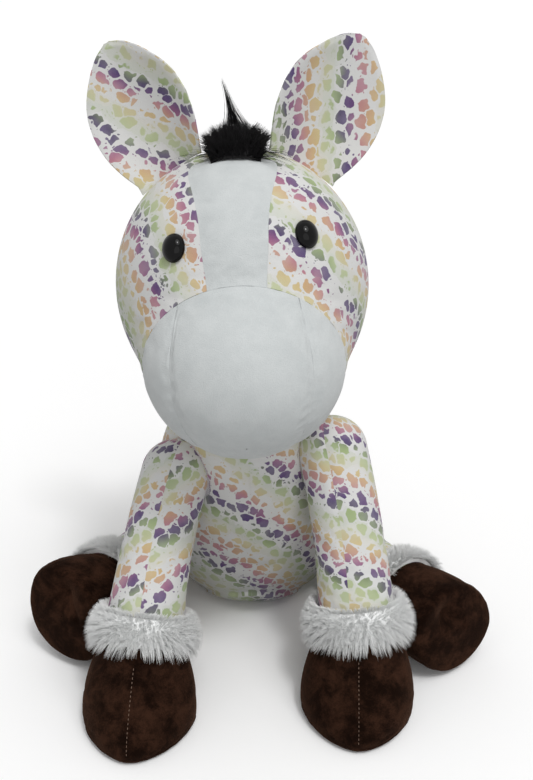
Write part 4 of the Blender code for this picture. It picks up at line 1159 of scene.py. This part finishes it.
def stray_hair(random):
    """Single hairs that lie over the forehead on both sides of the forelock."""
    side = random.choice([-1, 1], STRAY_STRANDS, p=(0.35, 0.65))
    across = FORELOCK_MIDDLE + FORELOCK_SIDE * side * random.uniform(0.5, 1.0, STRAY_STRANDS)
    direction = crown_direction(mix(*FORELOCK_SPAN, random.uniform(0, 0.4, STRAY_STRANDS)), across)
    roots = head_point(direction, FABRIC)
    out = unit(direction @ HEAD_TURN.T)
    ways = RIGHTWARD * side[:, None] + out * random.uniform(0.1, 0.5, STRAY_STRANDS)[:, None]
    ways += FORWARD * random.uniform(-0.2, 0.6, STRAY_STRANDS)[:, None]
    lengths = random.uniform(0.012, 0.034, STRAY_STRANDS)
    bends = -UP * 0.22 - out * 0.1
    made = strands("forelock_strays", roots, unit(ways), lengths, bends, HAIR_RADIUS * 0.6, 6)
    dress(made, DARK_HAIR, "dark_hair", "head")


def mane():
    hair_pad("mane_pad", "mane", MANE_SPAN, 0.0, MANE_SIDE, MANE_HEIGHT)
    random = np.random.default_rng(12)
    count = MANE_STRANDS
    along, across = random.random(count), random.uniform(-1, 1, count)
    angle = mix(*MANE_SPAN, along)
    direction = crown_direction(angle, MANE_SIDE * across)
    roots = head_point(direction, pad_lift(MANE_HEIGHT, along, across) * 0.95)
    out = unit(direction @ HEAD_TURN.T)
    down = unit(crown_direction(angle + 0.05, MANE_SIDE * across) - direction) @ HEAD_TURN.T
    ways = out * 0.75 + down * 0.45 + RIGHTWARD * (0.5 * across + random.normal(0, 0.2, count))[:, None]
    ways += random.normal(0, 0.12, (count, 3))
    lengths = random.uniform(0.010, 0.017, count) * np.minimum(1, 4 * (1.15 - along))
    ways = tuft_ways(random, roots, unit(ways), lengths, 0.04, 0.5)
    bends = down * 0.5 + RIGHTWARD * (0.3 * across)[:, None] - UP * 0.12
    made = strands("mane_hair", roots, ways, lengths, bends, HAIR_RADIUS)
    dress(made, DARK_HAIR, "dark_hair", "head", "mane")


TAIL_LENGTH_SHARES = (0.0, 0.22, 0.45, 0.68, 0.86, 0.97)
TAIL_RADIUS_SHARES = (0.68, 0.86, 1.0, 0.92, 0.6, 0.22)


def tail():
    along = -FORWARD * math.cos(TAIL_PITCH) - UP * math.sin(TAIL_PITCH)
    second = np.cross(along, RIGHTWARD)
    root = TAIL_ROOT
    shares = np.linspace(0, 0.97, 24)
    turns = np.linspace(0, math.tau, 32, endpoint=False)
    around = RIGHTWARD * np.cos(turns)[:, None] + second * np.sin(turns)[:, None]
    core = [root + along * TAIL_LENGTH * share + around * tail_radius(share) * 0.7 for share in shares]
    made = rings_object("tail_core", core)
    dress(made, DARK_HAIR, "dark_hair", "tail", "tail")
    random = np.random.default_rng(13)
    share, turn = random.random(TAIL_STRANDS) ** 1.2 * 0.9, random.uniform(0, math.tau, TAIL_STRANDS)
    away = RIGHTWARD * np.cos(turn)[:, None] + second * np.sin(turn)[:, None]
    roots = root + along * (TAIL_LENGTH * share)[:, None] + away * (tail_radius(share) * 0.65)[:, None]
    ways = unit(along + away * random.uniform(0.05, 0.45, TAIL_STRANDS)[:, None])
    lengths = random.uniform(0.014, 0.026, TAIL_STRANDS)
    ways = tuft_ways(random, roots, ways, lengths, 0.04, 0.5)
    bends = -UP * 0.12 - away * 0.12
    made = strands("tail_hair", roots, ways, lengths, bends, HAIR_RADIUS)
    dress(made, DARK_HAIR, "dark_hair", "tail")


def tail_radius(share):
    return TAIL_RADIUS * eased(share, TAIL_LENGTH_SHARES, TAIL_RADIUS_SHARES)


# Legs
def leg_radius(share):
    control = 2 * LEG_MIDDLE_RADIUS - (BALL_RADIUS + ANKLE_RADIUS) / 2
    return bezier((BALL_RADIUS, control, ANKLE_RADIUS), share)


def leg_axes(route, share, reference):
    tangent = bezier_tangent(route, share)
    first = unit(reference - tangent * (reference @ tangent))
    return tangent, first, np.cross(tangent, first)


def leg_point(route, share, turn, radius_change, reference):
    tangent, first, second = leg_axes(route, share, reference)
    radius = leg_radius(share) + radius_change
    turn = np.asarray(turn)[..., None]
    return bezier(route, share) + (first * np.cos(turn) + second * np.sin(turn)) * radius


def leg_rings(route, turns, radius_change, reference):
    """Rings of a leg from the pole of its ball end to the ankle, and how far along the cloth each lies."""
    start, first, second = leg_axes(route, 0, reference)
    around = first * np.cos(turns)[:, None] + second * np.sin(turns)[:, None]
    radius = BALL_RADIUS + radius_change
    rings, travelled = [], []
    for angle in np.linspace(-BALL_POLE_ANGLE, 0, BALL_ROWS, endpoint=False):
        rings.append(route[0] + start * radius * math.sin(angle) + around * radius * math.cos(angle))
        travelled.append(BALL_RADIUS * angle)
    shares = np.linspace(0, 1, LEG_ROWS + 1)
    middles = bezier(route, shares[:, None])
    steps = np.linalg.norm(np.diff(middles, axis=0), axis=1)
    for share, reach in zip(shares, np.concatenate([[0], np.cumsum(steps)])):
        rings.append(leg_point(route, share, turns, radius_change, reference))
        travelled.append(reach)
    return np.stack(rings), np.array(travelled)


def room_tool(name, route, reference):
    """The room that a leg needs in the torso at rest."""
    turns = np.linspace(0, math.tau, LEG_COLUMNS, endpoint=False)
    return rings_object(name, leg_rings(route, turns, SEAM_GAP, reference)[0])


def sleeve(prefix, route, reference, seam_turn, bands):
    turns = seam_turn + np.linspace(0, math.tau, LEG_COLUMNS + 1)
    points, lengths = leg_rings(route, turns, 0, reference)
    hearts = points.mean(axis=1, keepdims=True) + 0 * points
    hearts[:BALL_ROWS] = route[0]
    skin = Skin(points, hearts)
    skin.pinch(("first_column", "last_column"), SOFT_SEAM_DEPTH, SOFT_SEAM_WIDTH, seed=bands[1] * 9)
    seated = np.clip(SEATED_SHARE - lengths / SEATED_LENGTH, 0, 1)[:, None]
    skin.settle(("first_row", "last_row", "first_column", "last_column"), firm=seated)
    arc, lengths = np.meshgrid((turns - seam_turn) * LEG_MIDDLE_RADIUS, lengths)
    unrolled = np.stack([arc, 0 * arc, lengths], -1)
    made = skin.sheet(prefix + "_sleeve_cloth", place=in_print(unrolled, *bands, slip=bands[1]))
    return made


def cuff(prefix, route, reference, body, radius, seed):
    """A ring of cloth with long pile that stands out and falls over the hoof."""
    shares = 1 - CUFF_SHARE, 1.0
    turns = np.linspace(0, math.tau, LEG_COLUMNS, endpoint=False)
    rows = []
    for angle in np.linspace(-math.pi / 2, math.pi / 2, CUFF_ROWS):
        share = mix(*shares, (1 + math.sin(angle)) / 2)
        height = mix(HAIR_EDGE, (radius - ANKLE_RADIUS) * PAD_SHARE, math.cos(angle))
        rows.append(leg_point(route, share, turns, CUFF_GAP + height, reference))
    for share in np.linspace(shares[1], shares[0], CUFF_ROWS):
        rows.append(leg_point(route, share, turns, CUFF_GAP / 2, reference))
    rows.append(rows[0])
    made = clean(mesh_object(prefix + "_cuff_band", np.concatenate(rows), grid_quads(len(rows), len(turns), wrap=True)))
    set_place(made, np.array([vertex.co for vertex in made.data.vertices]))
    dress(made, WHITE_FUR, "white_plush", body, prefix + "_cuff")
    random = np.random.default_rng(seed)
    count = PILE_STRANDS
    level, turn = np.maximum(random.uniform(-RIM_PILE, 1, count), 0), random.uniform(0, math.tau, count)
    rim = np.where(level == 0, random.random(count), 1.0)
    share = mix(*shares, level)
    centre = np.stack([bezier(route, one) for one in share])
    axes = [leg_axes(route, one, reference) for one in share]
    tangent, first, second = [np.stack(axis) for axis in zip(*axes)]
    out = first * np.cos(turn)[:, None] + second * np.sin(turn)[:, None]
    height = CUFF_GAP + mix(HAIR_EDGE, (radius - ANKLE_RADIUS) * PAD_SHARE, np.sin(level * math.pi)) * 0.9 * rim
    roots = centre + out * (np.array([leg_radius(one) for one in share]) + height)[:, None]
    spread = mix(0.6, 1.0, np.sin(level * math.pi))
    ways = out * spread[:, None] + tangent * (1.6 * level - 0.9)[:, None] + random.normal(0, 0.10, (count, 3))
    lengths = PILE_LENGTH * random.uniform(0.65, 1.1, count) * mix(0.75, 1.0, level)
    ways = tuft_ways(random, roots, unit(ways), lengths, 0.05, 0.45)
    bends = -UP * 0.12 + tangent * 0.1
    made = strands(prefix + "_cuff_pile", roots, ways, lengths, bends, PILE_RADIUS)
    dress(made, WHITE_FUR, "white_plush", body)


class Hoof:
    """A hoof's form: the outline of its sole, drawn in to the ankle ring."""

    def __init__(self, route, drop, toe, inward, half_width, toe_reach, heel_reach):
        self.ankle = route[2]
        self.tangent = bezier_tangent(route, 1)
        self.front = unit(toe - self.tangent * (toe @ self.tangent))
        self.side = np.cross(self.tangent, self.front)
        self.toe, self.inward, self.across = toe, inward, np.cross(toe, inward)
        self.across = self.across if self.across @ self.side > 0 else -self.across
        self.base = self.ankle + drop + toe * (toe_reach - heel_reach) / 2
        self.half_width = half_width
        self.half_length = (toe_reach + heel_reach) / 2

    def edge(self, turn, share=1.0, height=0.0):
        power = 2 / HOOF_OUTLINE_POWER
        cosine, sine = np.cos(turn), np.sin(turn)
        along = np.copysign(np.abs(cosine) ** power, cosine) * self.half_length
        wide = np.copysign(np.abs(sine) ** power, sine) * self.half_width
        flat = self.toe * np.asarray(along)[..., None] + self.across * np.asarray(wide)[..., None]
        return self.base + flat * np.asarray(share)[..., None] + self.inward * np.asarray(height)[..., None]

    def upper(self, turn, share):
        start = self.edge(turn, 1.0, SOLE_RIM_RISE + SEAM_GAP)
        rise = mix(HEEL_RISE, TOE_RISE, (1 + np.cos(turn)) / 2)
        middle = self.edge(turn, 1.0, rise)
        middle = 2 * middle - self.edge(turn, 1.0 - HOOF_BULGE_SHARE, rise)
        away = self.front * np.cos(turn)[..., None] + self.side * np.sin(turn)[..., None]
        end = self.ankle + self.tangent * SEAM_GAP + away * ANKLE_RADIUS
        return bezier((start, middle, end), share)


def stitches(name, path, normals):
    """Pale dashes along a seam. The path has even steps of one stitch pitch."""
    dashes = []
    for index in range(len(path) - 1):
        along = unit(path[index + 1] - path[index])
        out = normals[index]
        side = np.cross(along, out)
        middle = mix(path[index], path[index + 1], 0.5)
        turns = np.linspace(0, math.tau, 8, endpoint=False)[:, None]
        for reach in np.linspace(-1, 1, 7):
            thick = STITCH_RADIUS * math.sqrt(max(1 - reach**2 * 0.97, 0))
            lift = STITCH_RADIUS * (1 - reach**2)
            ring = middle + along * reach * STITCH_LENGTH / 2 + out * lift
            dashes.append(ring + (side * np.cos(turns) + out * np.sin(turns)) * thick)
    rings = np.stack(dashes)
    per = 7 * 8
    quads = [grid_quads(7, 8, wrap=True, start=index * per) for index in range(len(path) - 1)]
    ends = []
    for index in range(len(path) - 1):
        for first, flip in ((index * per, True), (index * per + 48, False)):
            corners = np.arange(8) + first
            corners = corners[::-1] if flip else corners
            ends += [corners[[0, 1, 2, 3]], corners[[0, 3, 4, 7]], corners[[4, 5, 6, 7]]]
    made = mesh_object(name, rings.reshape(-1, 3), np.concatenate(quads + [np.stack(ends)]))
    set_place(made, rings.reshape(-1, 3))
    return clean(made)


def even_path(points, pitch):
    """Points at even steps along a path."""
    lengths = np.concatenate([[0], np.cumsum(np.linalg.norm(np.diff(points, axis=0), axis=1))])
    at = np.arange(0, lengths[-1], pitch)
    return np.stack([np.interp(at, lengths, points[:, axis]) for axis in range(3)], -1)


def hoof_cloth(prefix, hoof, body, sign, sole_seam):
    outward = sign * int(math.copysign(1, hoof.across @ np.cross(hoof.inward, hoof.toe)))
    margin = SEAM_GAP / 2 / hoof.half_width
    shares = np.linspace(0, 1, HOOF_ROWS + 1)[:, None]
    heart = mix(hoof.base + hoof.inward * SOLE_RIM_RISE, hoof.ankle, 0.5)
    for label, facing in (("outer", outward), ("inner", -outward)):
        turns = facing * np.linspace(margin, math.pi - margin, HOOF_COLUMNS + 1)[None]
        points = hoof.upper(turns + 0 * shares, shares[..., None])
        skin = Skin(points, heart)
        skin.pinch(("first_row", "first_column", "last_column"), SOFT_SEAM_DEPTH, SOFT_SEAM_WIDTH, seed=15 + facing)
        skin.settle(("first_row", "last_row", "first_column", "last_column"))
        made = skin.sheet(prefix + "_hoof_" + label + "_cloth")
        nodes = [prefix + "_hoof_" + label] + ([prefix + "_hoof_stuffing"] if label == "outer" else [])
        dress(made, VELOUR, "velour", body, *nodes, fill=0.8)
    turns = np.linspace(0, math.tau, 2 * HOOF_COLUMNS, endpoint=False)[None]
    levels = np.linspace(0.015, 1, 40)[:, None]
    rim = np.clip((levels - SOLE_FLAT_SHARE) / (1 - SOLE_FLAT_SHARE), 0, 1)
    height = SOLE_RIM_RISE * rim**2
    points = hoof.edge(turns + 0 * levels, levels + 0 * turns, height + 0 * turns)
    skin = Skin(points, heart, wrap=True)
    if sole_seam:
        dimple(skin, hoof, *sole_seam)
    skin.pinch(("last_row",), SOFT_SEAM_DEPTH / 2, SOFT_SEAM_WIDTH, seed=19)
    made = skin.sheet(prefix + "_hoof_sole_cloth", thickness=FABRIC)
    dress(made, VELOUR, "velour", body, prefix + "_hoof_sole", fill=0.8)
    if not sole_seam:
        path = hoof.upper(np.zeros(160), np.linspace(0.12, 0.9, 160)[:, None])
        path = even_path(path, STITCH_PITCH)
        normals = unit(path - heart)
        made = stitches(prefix + "_hoof_stitches", path - normals * SOFT_SEAM_DEPTH * 0.75, normals)
        dress(made, THREAD, "velour", body)


DIMPLE_DEPTH = 0.0075
DIMPLE_WIDTH = 0.013
SOLE_PUFF = 0.004
SOLE_SEAM_LENGTH = 0.024


def dimple(skin, hoof, place, direction):
    """Puffs a sole up, draws it in at a place, and closes it there with a short seam."""
    away = skin.flat - hoof.base
    across = (away @ hoof.across) / hoof.half_width
    along = (away @ hoof.toe) / hoof.half_length
    skin.lift(SOLE_PUFF * np.clip(1 - across**2 - along**2, 0, 1) ** 0.6)
    shift, line = np.array(place), np.array(direction)
    away = away - (shift - hoof.inward * (shift @ hoof.inward))
    line = unit(line - hoof.inward * (line @ hoof.inward))
    reach = np.clip(away @ line, 0, SOLE_SEAM_LENGTH)
    gap = np.linalg.norm(away - line * reach[..., None], axis=-1)
    fade = 1 - 0.75 * reach / SOLE_SEAM_LENGTH
    skin.lift(-DIMPLE_DEPTH * fade * np.exp(-((gap / (DIMPLE_WIDTH * fade)) ** 2)) * 0.6)
    skin.lift(-DIMPLE_DEPTH * 0.4 * np.exp(-((np.linalg.norm(away, axis=-1) / DIMPLE_WIDTH * 1.6) ** 2)))
    skin.lift(-SOFT_SEAM_DEPTH * np.exp(-((gap / SOFT_SEAM_WIDTH) ** 2)))


def leg_cloth(prefix, body, route, reference, cuff_radius, hoof, sign, seam_turn, bands, seed, sole_seam=None):
    made = sleeve(prefix, route, reference, seam_turn, bands)
    dress(made, PRINT, "printed_cloth", body, prefix + "_sleeve", prefix + "_stuffing", fill=0.8)
    cuff(prefix, route, reference, body, cuff_radius, seed)
    hoof_cloth(prefix, hoof, body, sign, sole_seam)


SHOULDERS = {"left": (0.068, 0.196), "right": (-0.062, 0.174)}
FRONT_ANKLES = {"left": (0.089, -0.166), "right": (-0.087, -0.178)}
TOES_IN = {"left": math.radians(3), "right": math.radians(-5)}
HIND_ANKLES = {"left": (0.136, -0.098), "right": (-0.129, -0.083)}
HIND_TURNS = {"left": math.radians(35), "right": math.radians(30)}
HIND_ROLLS = {"left": math.radians(105), "right": math.radians(40)}


def front_route(side):
    sign = SIDES[side]
    shoulder = np.array((SHOULDERS[side][0], SHOULDER_Y, SHOULDERS[side][1]))
    ankle = np.array((*FRONT_ANKLES[side], FRONT_ANKLE_Z))
    bow = mix(shoulder, ankle, 0.5) + np.array((sign * FRONT_BOW, -FRONT_BOW, 0))
    return shoulder, bow, ankle


def hind_ahead(side):
    return turned(SIDES[side] * HIND_TURNS[side], "Z") @ FORWARD


def hind_route(side):
    hip = np.array((SIDES[side] * HIP_X, HIP_Y, HIP_Z))
    ankle = np.array((*HIND_ANKLES[side], HIND_ANKLE_Z))
    return hip, ankle - hind_ahead(side) * HIND_CURVE, ankle


def front_hoof(side):
    toe = turned(-SIDES[side] * TOES_IN[side], "Z") @ FORWARD
    drop = -UP * FRONT_ANKLE_Z
    return Hoof(front_route(side), drop, toe, UP, HOOF_HALF_WIDTH, FRONT_TOE_REACH, FRONT_HEEL_REACH)


def hind_hoof(side):
    sign, ahead = SIDES[side], hind_ahead(side)
    lean = turned(HIND_FOOT_LEAN, Vector(np.cross(ahead, UP)))
    toe = lean @ turned(-sign * HIND_ROLLS[side], Vector(ahead)) @ UP
    sizes = HIND_HOOF_HALF_WIDTH, HIND_TOE_REACH, HIND_HEEL_REACH
    return Hoof(hind_route(side), ahead * HIND_FOOT_DEPTH, toe, lean @ -ahead, *sizes)


# How the print lies on each piece: the way its bands follow each other, and where they start
TORSO_BANDS = (-0.54, -0.48, -0.69)
TORSO_PHASE = 0.83
HEAD_BANDS = {"left": ((0.58, 0.54, 0.61), 0.38), "right": ((0.91, 0.14, 0.39), 0.65)}
EAR_BANDS = {"left": ((-1.0, 0.0, 0.0), 0.63), "right": ((0.37, -0.09, 0.92), 0.83)}
LEG_BANDS = {
    "front_leg_left": ((0.55, 0.0, 0.85), 0.15),
    "front_leg_right": ((-0.6, 0.0, 0.8), 0.45),
    "hind_leg_left": ((0.5, 0.0, 0.8), 0.6),
    "hind_leg_right": ((-0.5, 0.0, 0.8), 0.8),
}
FRONT_SEAM_TURNS = {"left": math.radians(104), "right": math.radians(94)}
HIND_SEAM_TURN = math.radians(180)
SOLE_SEAMS = {"left": ((-0.012, 0, 0.017), (0.75, 0, -0.5)), "right": ((0.002, 0, 0.021), (0.6, -0.1, -0.75))}


def build_horse():
    routes = {side: (front_route(side), hind_route(side)) for side in SIDES}
    rooms, tools = {}, []
    for side, sign in SIDES.items():
        front, hind = routes[side]
        rooms[side] = (
            room_tool("front_room_" + side, front, RIGHTWARD),
            room_tool("hind_room_" + side, hind, UP),
        )
        tools += rooms[side]
    neck_room = hull("neck_room", ball_points(NECK, NECK_RADIUS + PIECE_GAP, 64))
    tools.append(neck_room)
    body_covers(routes, rooms)
    dent_linings(routes)
    seat_cloth()
    head_sides(neck_room)
    blaze()
    muzzle(neck_room)
    eyes()
    ears()
    forelock()
    mane()
    tail()
    seed = 20
    for side, sign in SIDES.items():
        seed += 1
        front, hind = "front_leg_" + side, "hind_leg_" + side
        leg_cloth(front, front, routes[side][0], RIGHTWARD, FRONT_CUFF_RADIUS, front_hoof(side), sign,
                  FRONT_SEAM_TURNS[side], LEG_BANDS[front], seed)
        seed += 1
        leg_cloth(hind, hind, routes[side][1], UP, HIND_CUFF_RADIUS, hind_hoof(side), sign,
                  HIND_SEAM_TURN, LEG_BANDS[hind], seed, SOLE_SEAMS[side])
    for tool in tools:
        bpy.data.objects.remove(tool, do_unlink=True)


# Stage
CAMERA_PLACE = (0.0135, -0.832, 0.589)
CAMERA_ELEVATION = math.radians(25)
LENS_MM = 46.29
FLOOR_REACH = 30.0


def stage():
    corners = [(-FLOOR_REACH, -FLOOR_REACH, 0), (FLOOR_REACH, -FLOOR_REACH, 0),
               (FLOOR_REACH, FLOOR_REACH, 0), (-FLOOR_REACH, FLOOR_REACH, 0)]
    floor = mesh_object("floor", corners, [(0, 1, 2, 3)])
    made = bpy.data.materials.new("white_floor")
    made.use_nodes = True
    tree = made.node_tree
    shader = tree.nodes["Principled BSDF"]
    shader.inputs["Roughness"].default_value = 1.0
    shader.inputs["Specular IOR Level"].default_value = 0.0
    seen = background_rays(tree)
    tree.links.new(blend_colour(tree, seen, (0.42, 0.42, 0.42, 1), (1.06, 1.06, 1.06, 1)), shader.inputs["Base Color"])
    floor.data.materials.append(made)
    world = bpy.data.worlds.new("studio")
    bpy.context.scene.world = world
    world.use_nodes = True
    tree = world.node_tree
    light = tree.nodes["Background"]
    seen = background_rays(tree)
    tree.links.new(remap(tree, seen, 0.0, 1.0, 0.50, 1.0), light.inputs["Strength"])
    light.inputs["Color"].default_value = (1, 1, 1, 1)


def background_rays(tree):
    """1 for the rays that show the background: those of the camera, of mirrors and through glass."""
    path = node(tree, "LightPath")
    seen = calc(tree, "MAXIMUM", path.outputs["Is Camera Ray"], path.outputs["Is Glossy Ray"])
    return calc(tree, "MAXIMUM", seen, path.outputs["Is Transmission Ray"])


def lamp(name, strength, spread, azimuth, elevation):
    """A soft distant light. Its azimuth is measured like the camera's, from the front."""
    data = bpy.data.lights.new(name, "SUN")
    data.energy = strength
    data.angle = math.radians(spread)
    made = bpy.data.objects.new(name, data)
    flat = math.cos(math.radians(elevation))
    angle = math.radians(azimuth)
    back = Vector((math.sin(angle) * flat, -math.cos(angle) * flat, math.sin(math.radians(elevation))))
    made.rotation_euler = back.to_track_quat("Z", "Y").to_euler()
    bpy.context.scene.collection.objects.link(made)


def camera():
    data = bpy.data.cameras.new("camera")
    data.lens = LENS_MM
    made = bpy.data.objects.new("camera", data)
    made.location = CAMERA_PLACE
    made.rotation_euler = (math.pi / 2 - CAMERA_ELEVATION, 0, 0)
    bpy.context.scene.collection.objects.link(made)
    bpy.context.scene.camera = made


build_horse()
stage()
lamp("key", 0.86, 36, 34, 64)
lamp("glint", 0.62, 9, 28, 62)
lamp("fill", 0.50, 50, 12, 15)
camera()
bpy.context.scene.view_settings.view_transform = "Standard"
